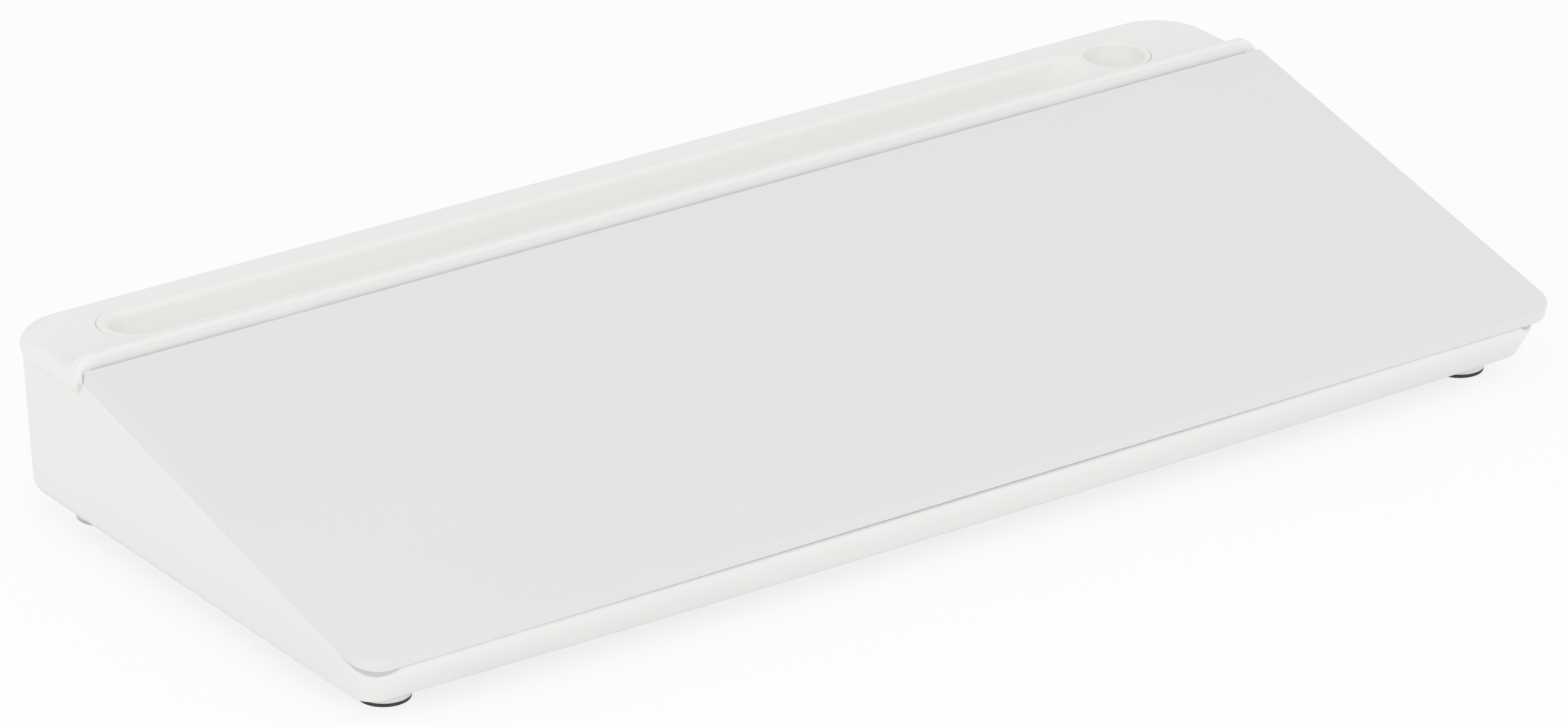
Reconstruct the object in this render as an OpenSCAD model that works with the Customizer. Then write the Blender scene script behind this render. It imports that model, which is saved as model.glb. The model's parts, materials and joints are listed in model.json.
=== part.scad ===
// Desktop drawing board: a wedge-shaped tub with a sloped glass lid, a rear cap and a lift-out pen tray.
// Millimetres. X runs along the board, +Y to the back, +Z up. The origin is on the table under the middle.
// "Behind the datum" means the distance back from the lower front edge of the glass.

/* [Glass panel] */
// Length of the glass along the board
glass_l = 450; // [300:1:600]
// Width of the glass from front to back, along the slope
glass_w = 159.2; // [120:0.1:220]
// Thickness of the glass
glass_t = 4; // [3:0.5:6]
// Radius of the two front corners of the glass
glass_front_r = 9.5; // [4:0.5:16]
// Radius of the two rear corners of the glass
glass_rear_r = 1.5; // [1:0.5:8]
// Chamfer along the upper rear edge of the glass
glass_chamfer = 0.4; // [0.2:0.1:0.8]
// Slope of the writing surface
slope = 13.5; // [10:0.5:17]
// Thickness of the white film behind the glass
film_t = 0.2; // [0.15:0.05:0.4]
// Distance from the edge of the glass to the edge of the film
film_inset = 4; // [2:0.5:8]
// Thickness of the bonding tape
tape_t = 0.8; // [0.5:0.1:1.2]
// Width of the bonding tape
tape_w = 10; // [6:1:16]

/* [Lid plate] */
// Thickness of the plate under the glass
plate_t = 2; // [1.6:0.1:3]
// Gap between the plate and the tub wall
plate_gap = 1.2; // [0.8:0.1:2.5]
// Radius of the front corners of the plate, which clear the corner bumpers
plate_corner_r = 30; // [28:1:44]
// Distance from the rear edge of the glass to the rear edge of the plate
plate_rear_inset = 6; // [5:0.5:12]
// Height of the ribs under the plate
lid_rib_h = 1.5; // [0.8:0.1:2.5]
// Thickness of the ribs under the plate
lid_rib_t = 1.4; // [1:0.1:2.4]
// Number of ribs that run from front to back
lid_ribs = 7; // [3:1:11]

/* [Base tub] */
// Height of the glass's lower front edge above the underside of the tub
front_h = 14.4; // [12:0.1:18]
// Overhang of the glass past the tub
glass_over = 0.5; // [0.2:0.1:1.5]
// Wall thickness of the tub
wall = 2.6; // [2:0.1:3.4]
// Floor thickness of the tub
floor_t = 2.5; // [2:0.1:3.5]
// Gap between the rim of the tub and the glass
rim_gap = 0.4; // [0.3:0.1:1]
// Height of the upright band below the rim
band_h = 4.6; // [3:0.1:6]
// Extra depth of the rim gap at the middle of the front
rim_sag = 1; // [0.4:0.1:1.6]
// Distance from each end of the glass to the dipped part of the front rim
sag_in = 55; // [35:1:80]
// Draft of the side walls and the rear wall
draft = 1.75; // [1:0.25:3]
// How far the bottom of the front wall stands back
undercut = 7.4; // [5:0.1:10]
// How far the bottom of each side wall stands in at the front
side_undercut = 4.2; // [1:0.1:6]
// How far the front bottom edge bows out at its middle
front_bow = 2.3; // [0.5:0.1:3]
// Front corner radius at the rim
rim_front_r = 15; // [10:0.5:18]
// Front corner radius at the bottom
bottom_front_r = 8.5; // [6:0.5:14]
// Edge radius along the front of the bottom
bottom_front_edge_r = 2.5; // [2:0.5:5]
// Rear corner radius of the tub
tub_rear_r = 15; // [12:0.5:20]
// Edge radius along the rear of the bottom
bottom_rear_edge_r = 5.5; // [4:0.5:8]
// Inner edge radius around the floor
floor_edge_r = 3; // [1.5:0.5:4]
// Distance of the two storage ribs from the end of the glass
bay_in = 150; // [110:1:180]
// Thickness of the storage ribs
bay_rib_t = 1.8; // [1.2:0.1:3]
// Distance of the top of the storage ribs below the glass
bay_rib_drop = 9; // [8:0.5:10]

/* [Corner bumpers] */
// Height of the grey bumper below the glass at the corner
bumper_h = 2.8; // [2:0.1:3.2]
// Radius of the curved seat under the bumper
bumper_seat_r = 15; // [13:0.5:20]
// Length of the bumper from the corner, along the diagonal
bumper_l = 16; // [12:0.5:17]
// Gap between the bumper and the glass
bumper_gap = 0.3; // [0.25:0.05:0.45]
// Gap between the bumper and its seat
bumper_fit = 0.03; // [0.01:0.01:0.08]
// Distance of the bumper post from the two edges
post_inset = 7.5; // [7:0.5:8]
// Radius of the bumper post
post_r = 6.5; // [5:0.5:7]

/* [Rear cap] */
// Overhang of the cap past the glass at each end
cap_over = 1; // [0.5:0.1:2]
// Depth of the cap from the ridge face to the rear
cap_depth = 48.3; // [44:0.1:60]
// Gap between the rear edge of the glass and the ridge face
rear_gap = 1.2; // [1:0.1:2]
// Distance of the underside of the ridge below the glass's upper rear edge
lip_drop = 1.2; // [0.6:0.05:1.3]
// Height of the ridge face
ridge_t = 3.95; // [3.3:0.05:5]
// Height of the ridge above the ledge
ridge_h = 5.3; // [4:0.1:7]
// Radius of the front edge of the ridge
ridge_edge_r = 1.8; // [1:0.1:2.4]
// Width of the flat top of the ridge
ridge_flat = 1.5; // [0.5:0.1:3]
// Length of the slope from the ridge down to the ledge
ridge_run = 8.5; // [6:0.1:9]
// Rounding of the two ends of the ridge
ridge_end_r = 5; // [2:0.1:6]
// Height of the skirt below the ledge
skirt_h = 5.7; // [5:0.1:8]
// Wall thickness of the cap
cap_wall = 2.4; // [1.8:0.1:3]
// Overhang of the skirt past the rear wall of the tub
skirt_over = 1; // [0.8:0.1:2]
// Edge radius along the top of the cap
cap_edge_r = 4; // [2:0.5:5]
// Plan radius of the rear corners of the cap
cap_rear_r = 19.5; // [16:0.5:22]
// Plan radius of the front corners of the cap
cap_front_r = 3; // [1.5:0.5:4]
// Gap between the front of the cap's ends and the tub's side walls
cheek_gap = 0.3; // [0.2:0.05:0.6]
// Gap between the cap's skirt and the locating tongue
tongue_gap = 0.2; // [0.1:0.05:0.4]
// Thickness of the locating tongue
tongue_t = 1.2; // [0.8:0.1:1.6]
// Height of the locating tongue
tongue_h = 2; // [1:0.1:3]

/* [Pen tray] */
// Distance from each end of the glass to the middle of the tray's round end
tray_in = 37; // [30:0.25:60]
// Plan radius of the tray
tray_r = 12.2; // [11.8:0.1:13]
// Sideways offset of the tray
tray_shift = -1.6; // [-4:0.1:4]
// Distance from the ridge face to the middle of the tray
tray_back = 26; // [25:0.1:29]
// Gap around the tray
tray_gap = 0.3; // [0.3:0.05:0.5]
// Thickness of the tray's flange
flange_t = 2; // [1.5:0.1:2.5]
// Gap under the tray's flange
flange_gap = 0.05; // [0.02:0.01:0.1]
// Radius of the pen groove
groove_r = 9; // [7:0.1:9.5]
// Distance from the finger well's middle to the end of the groove's flat floor
groove_stop = 26.4; // [24:0.1:34]
// Length over which the groove's floor rises at that end
groove_ramp = 16; // [9:0.5:17]
// Radius of the finger well
well_r = 10; // [8:0.1:10.2]
// Depth of the finger well
well_h = 7.5; // [5:0.1:9]
// Radius at the bottom of the finger well
well_edge_r = 5; // [2:0.1:6]
// Depth of the saddle between the groove and the finger well
saddle_h = 1.5; // [0.8:0.1:3]
// Wall thickness of the tray
tray_wall = 1.2; // [1:0.1:1.4]
// Height of the collar that carries the tray
collar_h = 4.5; // [3.5:0.1:6]
// Wall thickness of the collar
collar_t = 2; // [1.5:0.1:3]

/* [Lid hinge] */
// Distance of the hinge axis behind the glass, along the slope
hinge_back = 2.6; // [2.5:0.05:3]
// Distance of the hinge axis below the underside of the glass
hinge_drop = 0.4; // [0.2:0.1:0.8]
// Distance of each hinge from the end of the glass
hinge_in = 75; // [50:1:100]
// Radius of the hinge pins
pin_r = 1; // [0.8:0.05:1.1]
// Radial clearance of a pin in the lid's knuckle
pin_play = 0.05; // [0.02:0.01:0.1]
// Radial clearance of a pin in the tub's ears
pin_fit = 0.02; // [0.01:0.01:0.05]
// Outer radius of the knuckles and ears
knuckle_r = 2.1; // [1.9:0.05:2.2]
// Length of a knuckle
knuckle_l = 14; // [8:0.5:24]
// Thickness of an ear
ear_t = 3; // [2:0.1:5]
// Side gap between a knuckle and an ear
ear_gap = 0.3; // [0.2:0.05:0.6]
// Thickness of the strap that carries a knuckle
strap_t = 1.5; // [1.2:0.05:1.6]
// Length of the strap under the glass
strap_l = 18; // [14:1:30]
// Thickness of the bulkhead behind the hinge
bulkhead_t = 2; // [1.5:0.1:3]
// Gap between the knuckles and the bulkhead
bulkhead_gap = 0.8; // [0.5:0.1:1.2]

/* [Feet] */
// Diameter of a foot
foot_d = 17; // [13:0.5:18]
// Height of a foot without its pad
foot_h = 4.8; // [4:0.1:8]
// Thickness of a rubber pad
pad_t = 1.2; // [0.8:0.1:2.5]
// Diameter of a rubber pad
pad_d = 16.4; // [12:0.1:17]
// Distance of the front feet from the end of the glass
foot_front_in = 21.3; // [20:0.1:40]
// Distance of the front feet behind the datum
foot_front_y = 22.5; // [21:0.5:40]
// Distance of the rear feet from the end of the glass
foot_rear_in = 18.5; // [18:0.1:40]
// Distance of the rear feet behind the bulkhead
foot_rear_back = 14.7; // [13:0.1:20]

/* [Screws] */
// Shank diameter of a screw
screw_d = 3; // [2.5:0.1:3.5]
// Head diameter of a screw
head_d = 5.6; // [5:0.1:6]
// Head height of a screw
head_h = 2; // [1.5:0.1:2.3]
// Shank length of a foot screw
foot_screw_l = 9; // [7:0.5:11]
// Shank length of a cap screw
cap_screw_l = 14; // [10:0.5:18]
// Radial clearance around a screw's shank
screw_play = 0.15; // [0.05:0.05:0.3]
// Radial clearance of a screw in its boss
thread_fit = 0.02; // [0.01:0.01:0.05]
// Radial clearance around a screw's head
head_play = 0.4; // [0.2:0.1:0.6]
// Outer diameter of the tub's screw bosses
boss_d = 9; // [8:0.1:10]
// Height of the foot bosses above the floor
foot_boss_h = 9; // [8:0.5:14]
// Height of the cap towers above the floor
tower_h = 24; // [12:1:30]
// Roof thickness of a cap tower
tower_roof = 3; // [2:0.1:4]
// Diameter of the bosses under the cap
cap_boss_d = 6; // [5:0.1:6.4]
// Distance of the inner cap screws from the end of the glass
cap_screw_mid_in = 155; // [110:1:180]
// Distance of the outer cap screws from the end of the glass
cap_screw_in = 33; // [30:1:45]

/* [Hidden] */
$fn = 72;
hull_fn = 40;
eps = 0.02;
embed = 1;
big = 700;
arc_steps = 16;
end_steps = 8;
white = [0.93, 0.925, 0.905];
glass_white = [0.90, 0.90, 0.90];
pad_grey = [0.78, 0.78, 0.80];
rubber_black = [0.16, 0.155, 0.15];
steel = [0.62, 0.62, 0.64];

// Heights above the table
under_z = foot_h + pad_t;
front_z = under_z + front_h;
floor_z = under_z + floor_t;
rear_edge_z = front_z + glass_w * sin(slope);
rear_top_z = rear_edge_z + glass_t * cos(slope);
lip_z = rear_top_z - lip_drop;
ridge_z = lip_z + ridge_t;
ledge_z = ridge_z - ridge_h;
part_z = ledge_z - skirt_h;
tower_z = floor_z + tower_h;

// Distances behind the datum
front_over = glass_t * sin(slope);
rear_edge_y = glass_w * cos(slope);
ridge_y = rear_edge_y + rear_gap;
cap_rear_y = ridge_y + cap_depth;
tub_rear_y = cap_rear_y - skirt_over;
hinge_v = glass_w + hinge_back;
hinge_y = hinge_v * cos(slope) + hinge_drop * sin(slope);
hinge_z = front_z + hinge_v * sin(slope) - hinge_drop * cos(slope);
bulkhead_y = hinge_y + knuckle_r + bulkhead_gap;
bulkhead_rear_y = bulkhead_y + bulkhead_t;
tray_y = ridge_y + tray_back;
cap_screw_y = bulkhead_rear_y + boss_d / 2 - 0.5;
foot_rear_y = bulkhead_rear_y + foot_rear_back;

// The datum sits so that the whole board is centred on the origin
depth = front_over + cap_rear_y;
front_y = front_over - depth / 2;

// Places along the board that follow the length of the glass
glass_half = glass_l / 2;
sag_half = glass_half - sag_in;
bay_x = glass_half - bay_in;
hinge_x = glass_half - hinge_in;
tray_span = glass_l - 2 * tray_in;
foot_front_x = glass_half - foot_front_in;
foot_rear_x = glass_half - foot_rear_in;
cap_screw_x1 = glass_half - cap_screw_mid_in;
cap_screw_x2 = glass_half - cap_screw_in;

// Tub outline
tub_half = glass_half - glass_over;
band_drop = rim_gap + band_h;
front_wall_h = front_h - band_drop / cos(slope);
rear_wall_h = front_wall_h + tub_rear_y * tan(slope);
rear_inset = rear_wall_h * tan(draft);
bottom_front_x = tub_half - side_undercut - bottom_front_r;
front_lean = atan(undercut / front_wall_h);
inner_front = undercut * (1 - floor_t / front_wall_h) + wall / cos(front_lean);

// Lid levels, measured down from the underside of the glass
tape_top = film_t;
plate_top = film_t + tape_t;
rib_top = plate_top + plate_t;
plate_edge = wall + glass_over + plate_gap;

// Cap
cap_half = glass_half + cap_over;
cap_inner_half = cap_half - cap_wall;
ridge_crest_y = ridge_y + ridge_edge_r + ridge_flat;
ridge_foot_y = ridge_crest_y + ridge_run;

// Feet and screw places, as [x, y behind the datum]
foot_front_left_at = [-foot_front_x, foot_front_y];
foot_front_right_at = [foot_front_x, foot_front_y];
foot_rear_left_at = [-foot_rear_x, foot_rear_y];
foot_rear_right_at = [foot_rear_x, foot_rear_y];
foot_places = [foot_front_left_at, foot_front_right_at, foot_rear_left_at, foot_rear_right_at];
cap_screw_places = [for (x = [-cap_screw_x2, -cap_screw_x1, cap_screw_x1, cap_screw_x2]) [x, cap_screw_y]];
foot_head_z = pad_t + head_h + eps;
cap_head_z = tower_z - tower_roof;

// Moves children from the datum to the shared frame
module at_datum() {
  translate([0, front_y, 0]) children();
}

// Lays children on the slope: Y runs up the slope and Z = 0 is the underside of the glass
module on_slope() {
  translate([0, front_y, front_z]) rotate([slope, 0, 0]) children();
}

// Stands a (y, z) outline up and sweeps it along X, centred
module along_x(length) {
  rotate([90, 0, 90]) linear_extrude(height = length, center = true) children();
}

// Rectangle with its front edge on y = 0, with its own front and rear corner radii
module plate_2d(half, w, rf, rr) {
  translate([-half, rf]) square([2 * half, w - rf - rr]);
  translate([rf - half, 0]) square([2 * (half - rf), rf + eps]);
  translate([rr - half, w - rr - eps]) square([2 * (half - rr), rr + eps]);
  for (s = [-1, 1]) {
    translate([s * (half - rf), rf]) circle(r = rf);
    translate([s * (half - rr), w - rr]) circle(r = rr);
  }
}

// Disc whose lower edge is rounded
module puck(r, edge) {
  rotate_extrude($fn = hull_fn) {
    square([r - edge, edge]);
    translate([r - edge, edge]) intersection() {
      circle(r = edge);
      translate([0, -edge]) square(edge);
    }
  }
}

// Plan of the tub at its rim, moved in by an inset
module tub_plan(inset) {
  translate([0, glass_over + inset]) plate_2d(tub_half - inset, tub_rear_y - glass_over - 2 * inset,
    rim_front_r - inset, tub_rear_r - inset);
}

// Outer form of the tub: the upright band drawn together with the smaller, rounded bottom
module tub_outer() {
  hull() {
    intersection() {
      at_datum() linear_extrude(height = big / 2) tub_plan(0, $fn = hull_fn);
      on_slope() translate([-big / 2, -big / 2, -band_drop]) cube([big, big, band_h]);
    }
    at_datum() translate([0, 0, under_z]) {
      for (s = [-1, 1]) {
        translate([s * bottom_front_x, undercut + bottom_front_r, 0])
          puck(bottom_front_r, bottom_front_edge_r);
        translate([s * (tub_half - rear_inset - tub_rear_r), tub_rear_y - rear_inset - tub_rear_r, 0])
          puck(tub_rear_r, bottom_rear_edge_r);
      }
      for (t = [-0.75:0.25:0.75]) {
        translate([t * bottom_front_x, undercut - front_bow * (1 - t * t) + bottom_front_r, 0])
          puck(bottom_front_r, bottom_front_edge_r);
      }
    }
  }
}

// Hollow of the tub
module tub_inner() {
  hull() {
    intersection() {
      at_datum() linear_extrude(height = big / 2) tub_plan(wall, $fn = hull_fn);
      on_slope() translate([-big / 2, -big / 2, -band_drop]) cube([big, big, 8 * band_h]);
    }
    at_datum() translate([0, 0, floor_z]) {
      for (s = [-1, 1]) {
        translate([s * bottom_front_x, inner_front + bottom_front_r - wall, 0])
          puck(bottom_front_r - wall, floor_edge_r);
        translate([s * (tub_half - rear_inset - tub_rear_r), tub_rear_y - rear_inset - tub_rear_r, 0])
          puck(tub_rear_r - wall, floor_edge_r);
      }
    }
  }
}

// Curved seat of a corner bumper, as a cylinder along the corner's diagonal
module bumper_seat(side, shrink) {
  on_slope() translate([side * glass_half, 0, bumper_seat_r - bumper_h])
    rotate([0, 0, side * 45]) rotate([-90, 0, 0])
      translate([0, 0, -bumper_l]) cylinder(r = bumper_seat_r - shrink, h = 3 * bumper_l, $fn = 4 * $fn);
}

// Dip of the front rim, deepest at the middle
module rim_dip() {
  on_slope() translate([0, 2 * wall, -rim_gap]) rotate([90, 0, 0]) linear_extrude(height = 4 * wall)
    polygon(concat([[sag_half, wall], [-sag_half, wall]],
      [for (i = [-arc_steps:arc_steps]) let (t = i / arc_steps) [t * sag_half, -rim_sag * (1 - t * t)]]));
}

// Wall between the storage space and the space under the cap
module bulkhead() {
  half = tub_half - wall + embed;
  low_half = tub_half - rear_inset - bottom_rear_edge_r / 2;
  low_z = floor_z + bottom_rear_edge_r / 2;
  at_datum() translate([0, bulkhead_rear_y, 0]) rotate([90, 0, 0]) linear_extrude(height = bulkhead_t)
    polygon([[-low_half, floor_z - embed], [low_half, floor_z - embed], [half - rear_inset, low_z],
      [half, part_z], [half, lip_z], [-half, lip_z], [-half, part_z], [rear_inset - half, low_z]]);
}

// Space of the cap behind the tub's side walls, whose rear edges stand square to the glass
module cap_space() {
  intersection() {
    at_datum() translate([-big / 2, ridge_y - cheek_gap, lip_z]) rotate([slope, 0, 0])
      translate([0, 0, -big / 2]) cube(big);
    at_datum() translate([-big / 2, 0, part_z]) cube(big);
  }
}

// Two low ribs that part the storage space into three bays
module bay_ribs() {
  top_z = front_z - bay_rib_drop / cos(slope);
  end_y = bulkhead_y + embed;
  for (s = [-1, 1])
    at_datum() translate([s * bay_x, 0, 0]) along_x(bay_rib_t)
      polygon([[0, floor_z - embed], [end_y, floor_z - embed], [end_y, top_z + end_y * tan(slope)],
        [0, top_z]]);
}

// Tongue on the rear rim that locates the cap's skirt
module tongue() {
  inset = cap_wall + tongue_gap;
  at_datum() translate([0, 0, part_z - embed]) linear_extrude(height = embed + tongue_h)
    intersection() {
      difference() {
        cap_plan(inset);
        cap_plan(inset + tongue_t);
      }
      translate([-big / 2, bulkhead_y]) square(big);
    }
}

// Ears that hold the hinge pins, on the front of the bulkhead
module ears() {
  for (s = [-1, 1], e = [-1, 1])
    at_datum() translate([s * hinge_x + e * (knuckle_l / 2 + ear_gap + ear_t / 2), 0, 0]) along_x(ear_t)
      difference() {
        union() {
          translate([hinge_y, hinge_z]) circle(r = knuckle_r);
          translate([hinge_y, hinge_z - knuckle_r]) square([bulkhead_y - hinge_y + eps, 2 * knuckle_r]);
        }
        translate([hinge_y, hinge_z]) circle(r = pin_r + pin_fit);
      }
}

module base_tub() {
  color(white) {
    difference() {
      union() {
        difference() {
          tub_outer();
          tub_inner();
        }
        intersection() {
          tub_outer();
          union() {
            bay_ribs();
            for (s = [-1, 1])
              at_datum() translate([s * (tub_half - post_inset), post_inset, floor_z - embed])
                cylinder(r = post_r, h = front_h);
          }
        }
      }
      for (s = [-1, 1]) bumper_seat(s, 0);
      rim_dip();
      cap_space();
      foot_holes();
    }
    bulkhead();
    tongue();
    ears();
    difference() {
      union() {
        for (p = foot_places) boss(p, foot_boss_h);
        for (p = cap_screw_places) boss(p, tower_h);
      }
      foot_holes();
    }
  }
}

// Screw boss standing on the floor of the tub
module boss(p, h) {
  at_datum() translate([p[0], p[1], floor_z - eps]) cylinder(d = boss_d, h = h + eps);
}

// Screw holes through the floor of the tub and its bosses
module foot_holes() {
  for (p = foot_places)
    at_datum() translate([p[0], p[1], under_z - embed])
      cylinder(d = screw_d + 2 * thread_fit, h = foot_screw_l + embed);
  for (p = cap_screw_places)
    at_datum() translate([p[0], p[1], under_z - embed]) {
      cylinder(d = screw_d + 2 * screw_play, h = big);
      cylinder(d = head_d + 2 * head_play, h = cap_head_z - under_z + embed);
    }
}

// Plan of the cap, moved in by an inset
module cap_plan(inset) {
  translate([0, ridge_y + inset]) plate_2d(cap_half - inset, cap_depth - 2 * inset,
    max(cap_front_r - inset, embed), cap_rear_r - inset);
}

// Height of the cap's top at a place behind the ridge's crest
function cap_top(y) = y > ridge_foot_y ? ledge_z
  : ledge_z + ridge_h * (1 + cos(180 * (y - ridge_crest_y) / ridge_run)) / 2;

// Half-width of the cap at a place behind the ridge face, with its round front corner
function cap_half_at(y) = let (d = max(0, cap_front_r - (y - ridge_y)))
  cap_half - cap_front_r + sqrt(cap_front_r * cap_front_r - d * d);

// Slice across the cap at one place, with its two upper corners rounded
function ridge_slice(y, z) =
  let (low_z = ledge_z - cap_edge_r - eps, half = cap_half_at(y),
    r = cap_edge_r + (ridge_end_r - cap_edge_r) * (z - ledge_z) / ridge_h)
  concat([[-half, y, low_z]],
    [for (i = [0:end_steps]) let (a = 90 * i / end_steps) [-half + r * (1 - cos(a)), y, z - r * (1 - sin(a))]],
    [for (i = [0:end_steps]) let (a = 90 * i / end_steps) [half - r * (1 - sin(a)), y, z - r * (1 - cos(a))]],
    [[half, y, low_z]]);

// Ridge lofted from front to back: rounded front edge, flat top and a soft slope down to the ledge
module ridge() {
  path = concat(
    [for (i = [0:end_steps]) let (a = 90 * i / end_steps)
      [ridge_y + ridge_edge_r * (1 - cos(a)), ridge_z - ridge_edge_r * (1 - sin(a))]],
    [for (i = [0:arc_steps]) let (y = ridge_crest_y + ridge_run * i / arc_steps) [y, cap_top(y)]]);
  n = 2 * end_steps + 4;
  last = (len(path) - 1) * n;
  polyhedron(points = [for (p = path) each ridge_slice(p[0], p[1])],
    faces = concat([[for (i = [0:n - 1]) i]], [[for (i = [0:n - 1]) last + n - 1 - i]],
      [for (j = [0:len(path) - 2], i = [0:n - 1]) let (a = j * n + i, b = j * n + (i + 1) % n)
        each [[a, a + n, b], [b, a + n, b + n]]]));
}

// Hollow under the cap, one wall thickness below its top
module cap_hollow() {
  at_datum() intersection() {
    along_x(2 * cap_inner_half) polygon(concat(
      [[ridge_y - embed, -embed], [ridge_y - embed, lip_z], [bulkhead_rear_y + tongue_gap, lip_z]],
      [for (i = [0:arc_steps]) let (y = ridge_crest_y + ridge_run * i / arc_steps)
        if (y > bulkhead_rear_y + tongue_gap) [y, min(lip_z, cap_top(y) - cap_wall)]],
      [[cap_rear_y - cap_wall, ledge_z - cap_wall], [cap_rear_y - cap_wall, -embed]]));
    translate([0, ridge_y - embed, 0]) linear_extrude(height = big)
      plate_2d(cap_inner_half, cap_depth - cap_wall + embed, cap_front_r, cap_rear_r - cap_wall);
  }
}

// Solid form of the cap: skirt, rounded top edge, ledge and ridge
module cap_solid() {
  edge_z = ledge_z - cap_edge_r;
  arc_x = cap_half - cap_rear_r;
  arc_y = cap_rear_y - cap_rear_r;
  at_datum() {
    translate([0, 0, part_z]) linear_extrude(height = edge_z - part_z) cap_plan(0);
    translate([0, ridge_y + cap_front_r, edge_z - eps]) linear_extrude(height = cap_edge_r + eps)
      plate_2d(cap_half - cap_edge_r, cap_depth - cap_front_r - cap_edge_r, embed, cap_rear_r - cap_edge_r);
    translate([0, cap_rear_y - cap_edge_r, edge_z]) rotate([0, 90, 0])
      cylinder(r = cap_edge_r, h = 2 * arc_x, center = true);
    for (s = [-1, 1]) {
      translate([s * (cap_half - cap_edge_r), arc_y, edge_z]) rotate([90, 0, 0])
        cylinder(r = cap_edge_r, h = arc_y - ridge_foot_y + eps);
      translate([s * arc_x, arc_y, edge_z]) rotate_extrude()
        translate([cap_rear_r - cap_edge_r, 0]) intersection() {
          circle(r = cap_edge_r);
          translate([0, -cap_edge_r]) square([cap_edge_r, 2 * cap_edge_r]);
        }
    }
    ridge();
  }
}

// Slot outline with round ends, for the tray and its opening
module slot_2d(r) {
  square([tray_span, 2 * r], center = true);
  for (s = [-1, 1]) translate([s * tray_span / 2, 0]) circle(r = r);
}

// Places children at the middle of the tray, level with the ledge
module at_tray() {
  at_datum() translate([tray_shift, tray_y, ledge_z]) children();
}

module rear_cap() {
  seat_r = tray_r + tray_gap;
  hole_r = well_r + tray_wall + tray_gap;
  collar_r = seat_r + collar_t;
  color(white) difference() {
    union() {
      difference() {
        cap_solid();
        cap_hollow();
        at_datum() translate([-big / 2, 0, -big + part_z]) cube(big);
        at_datum() along_x(big) polygon([[ridge_y - embed, lip_z], [ridge_y, lip_z],
          [ridge_y + (lip_z - part_z + embed) * tan(slope), part_z - embed], [ridge_y - embed, part_z - embed]]);
      }
      at_tray() translate([0, 0, -collar_h]) linear_extrude(height = collar_h - embed) slot_2d(collar_r);
      for (p = cap_screw_places)
        at_datum() translate([p[0], p[1], tower_z]) cylinder(d = cap_boss_d, h = ledge_z - tower_z - embed);
    }
    at_tray() translate([0, 0, -flange_t - flange_gap]) linear_extrude(height = big) slot_2d(seat_r);
    at_tray() translate([0, 0, -2 * collar_h]) linear_extrude(height = big) slot_2d(hole_r);
    for (p = cap_screw_places)
      at_datum() translate([p[0], p[1], tower_z - embed])
        cylinder(d = screw_d + 2 * thread_fit, h = cap_screw_l + embed);
  }
}

// Round-bottomed cup, open at the top
module cup(r, h, edge) {
  rotate_extrude() {
    translate([0, -h]) square([r - edge, h]);
    translate([0, edge - h]) square([r, h - edge]);
    translate([r - edge, edge - h]) intersection() {
      circle(r = edge);
      translate([0, -edge]) square(edge);
    }
  }
}

// Half of an egg shape along X, drawn out to a given length
module long_end(r, length) {
  rotate([0, 90, 0]) rotate_extrude() polygon(concat([[0, 0]],
    [for (i = [0:arc_steps]) let (a = 90 * i / arc_steps) [r * cos(a), length * sin(a)]]));
}

// Groove with a round left end and a gently rising right end, widened by a wall
module groove(wall_t) {
  r = groove_r + wall_t;
  x0 = -tray_span / 2;
  x1 = tray_span / 2 - groove_stop;
  translate([x0, 0, 0]) rotate([0, 90, 0]) cylinder(r = r, h = x1 - x0);
  translate([x0, 0, 0]) sphere(r = r);
  translate([x1, 0, 0]) long_end(r, groove_ramp + wall_t);
}

module pen_tray() {
  saddle_r = (groove_r * groove_r + saddle_h * saddle_h) / (2 * saddle_h);
  color(white) at_tray() difference() {
    union() {
      translate([0, 0, -flange_t]) linear_extrude(height = flange_t) slot_2d(tray_r);
      intersection() {
        union() {
          groove(tray_wall);
          translate([tray_span / 2, 0, 0]) cup(well_r + tray_wall, well_h + tray_wall, well_edge_r);
        }
        translate([-big / 2, -big / 2, -big]) cube(big);
      }
    }
    groove(0);
    translate([tray_span / 2, 0, 0]) cup(well_r, well_h, well_edge_r);
    translate([tray_span / 2, 0, eps]) cylinder(r = well_r, h = embed);
    translate([tray_span / 2, 0, saddle_r - saddle_h]) rotate([0, -90, 0])
      cylinder(r = saddle_r, h = groove_stop);
  }
}

module glass_panel() {
  color(glass_white) on_slope() difference() {
    linear_extrude(height = glass_t) plate_2d(glass_half, glass_w, glass_front_r, glass_rear_r);
    translate([0, glass_w, glass_t]) rotate([45, 0, 0])
      cube([big, glass_chamfer * sqrt(2), glass_chamfer * sqrt(2)], center = true);
  }
}

module glass_backing() {
  r = glass_front_r - film_inset / 2;
  color(white) on_slope() translate([0, film_inset, -film_t]) linear_extrude(height = film_t)
    plate_2d(glass_half - film_inset, glass_w - 2 * film_inset, r, r);
}

// Plan of the lid's plate on the slope
module lid_plan() {
  translate([0, plate_edge]) plate_2d(glass_half - plate_edge, glass_w - plate_rear_inset - plate_edge,
    plate_corner_r, glass_rear_r);
}

module bond_tape() {
  x = glass_half - plate_edge - embed;
  y0 = plate_edge + embed;
  y1 = glass_w - plate_rear_inset - embed;
  color(pad_grey) on_slope() translate([0, 0, -plate_top]) linear_extrude(height = tape_t) {
    translate([plate_corner_r - x, y0]) square([2 * (x - plate_corner_r), tape_w]);
    translate([plate_corner_r - x, y1 - tape_w]) square([2 * (x - plate_corner_r), tape_w]);
    for (s = [-1, 1])
      translate([s * (x - tape_w / 2) - tape_w / 2, y0 + plate_corner_r])
        square([tape_w, y1 - y0 - plate_corner_r - tape_w - embed]);
  }
}

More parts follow.
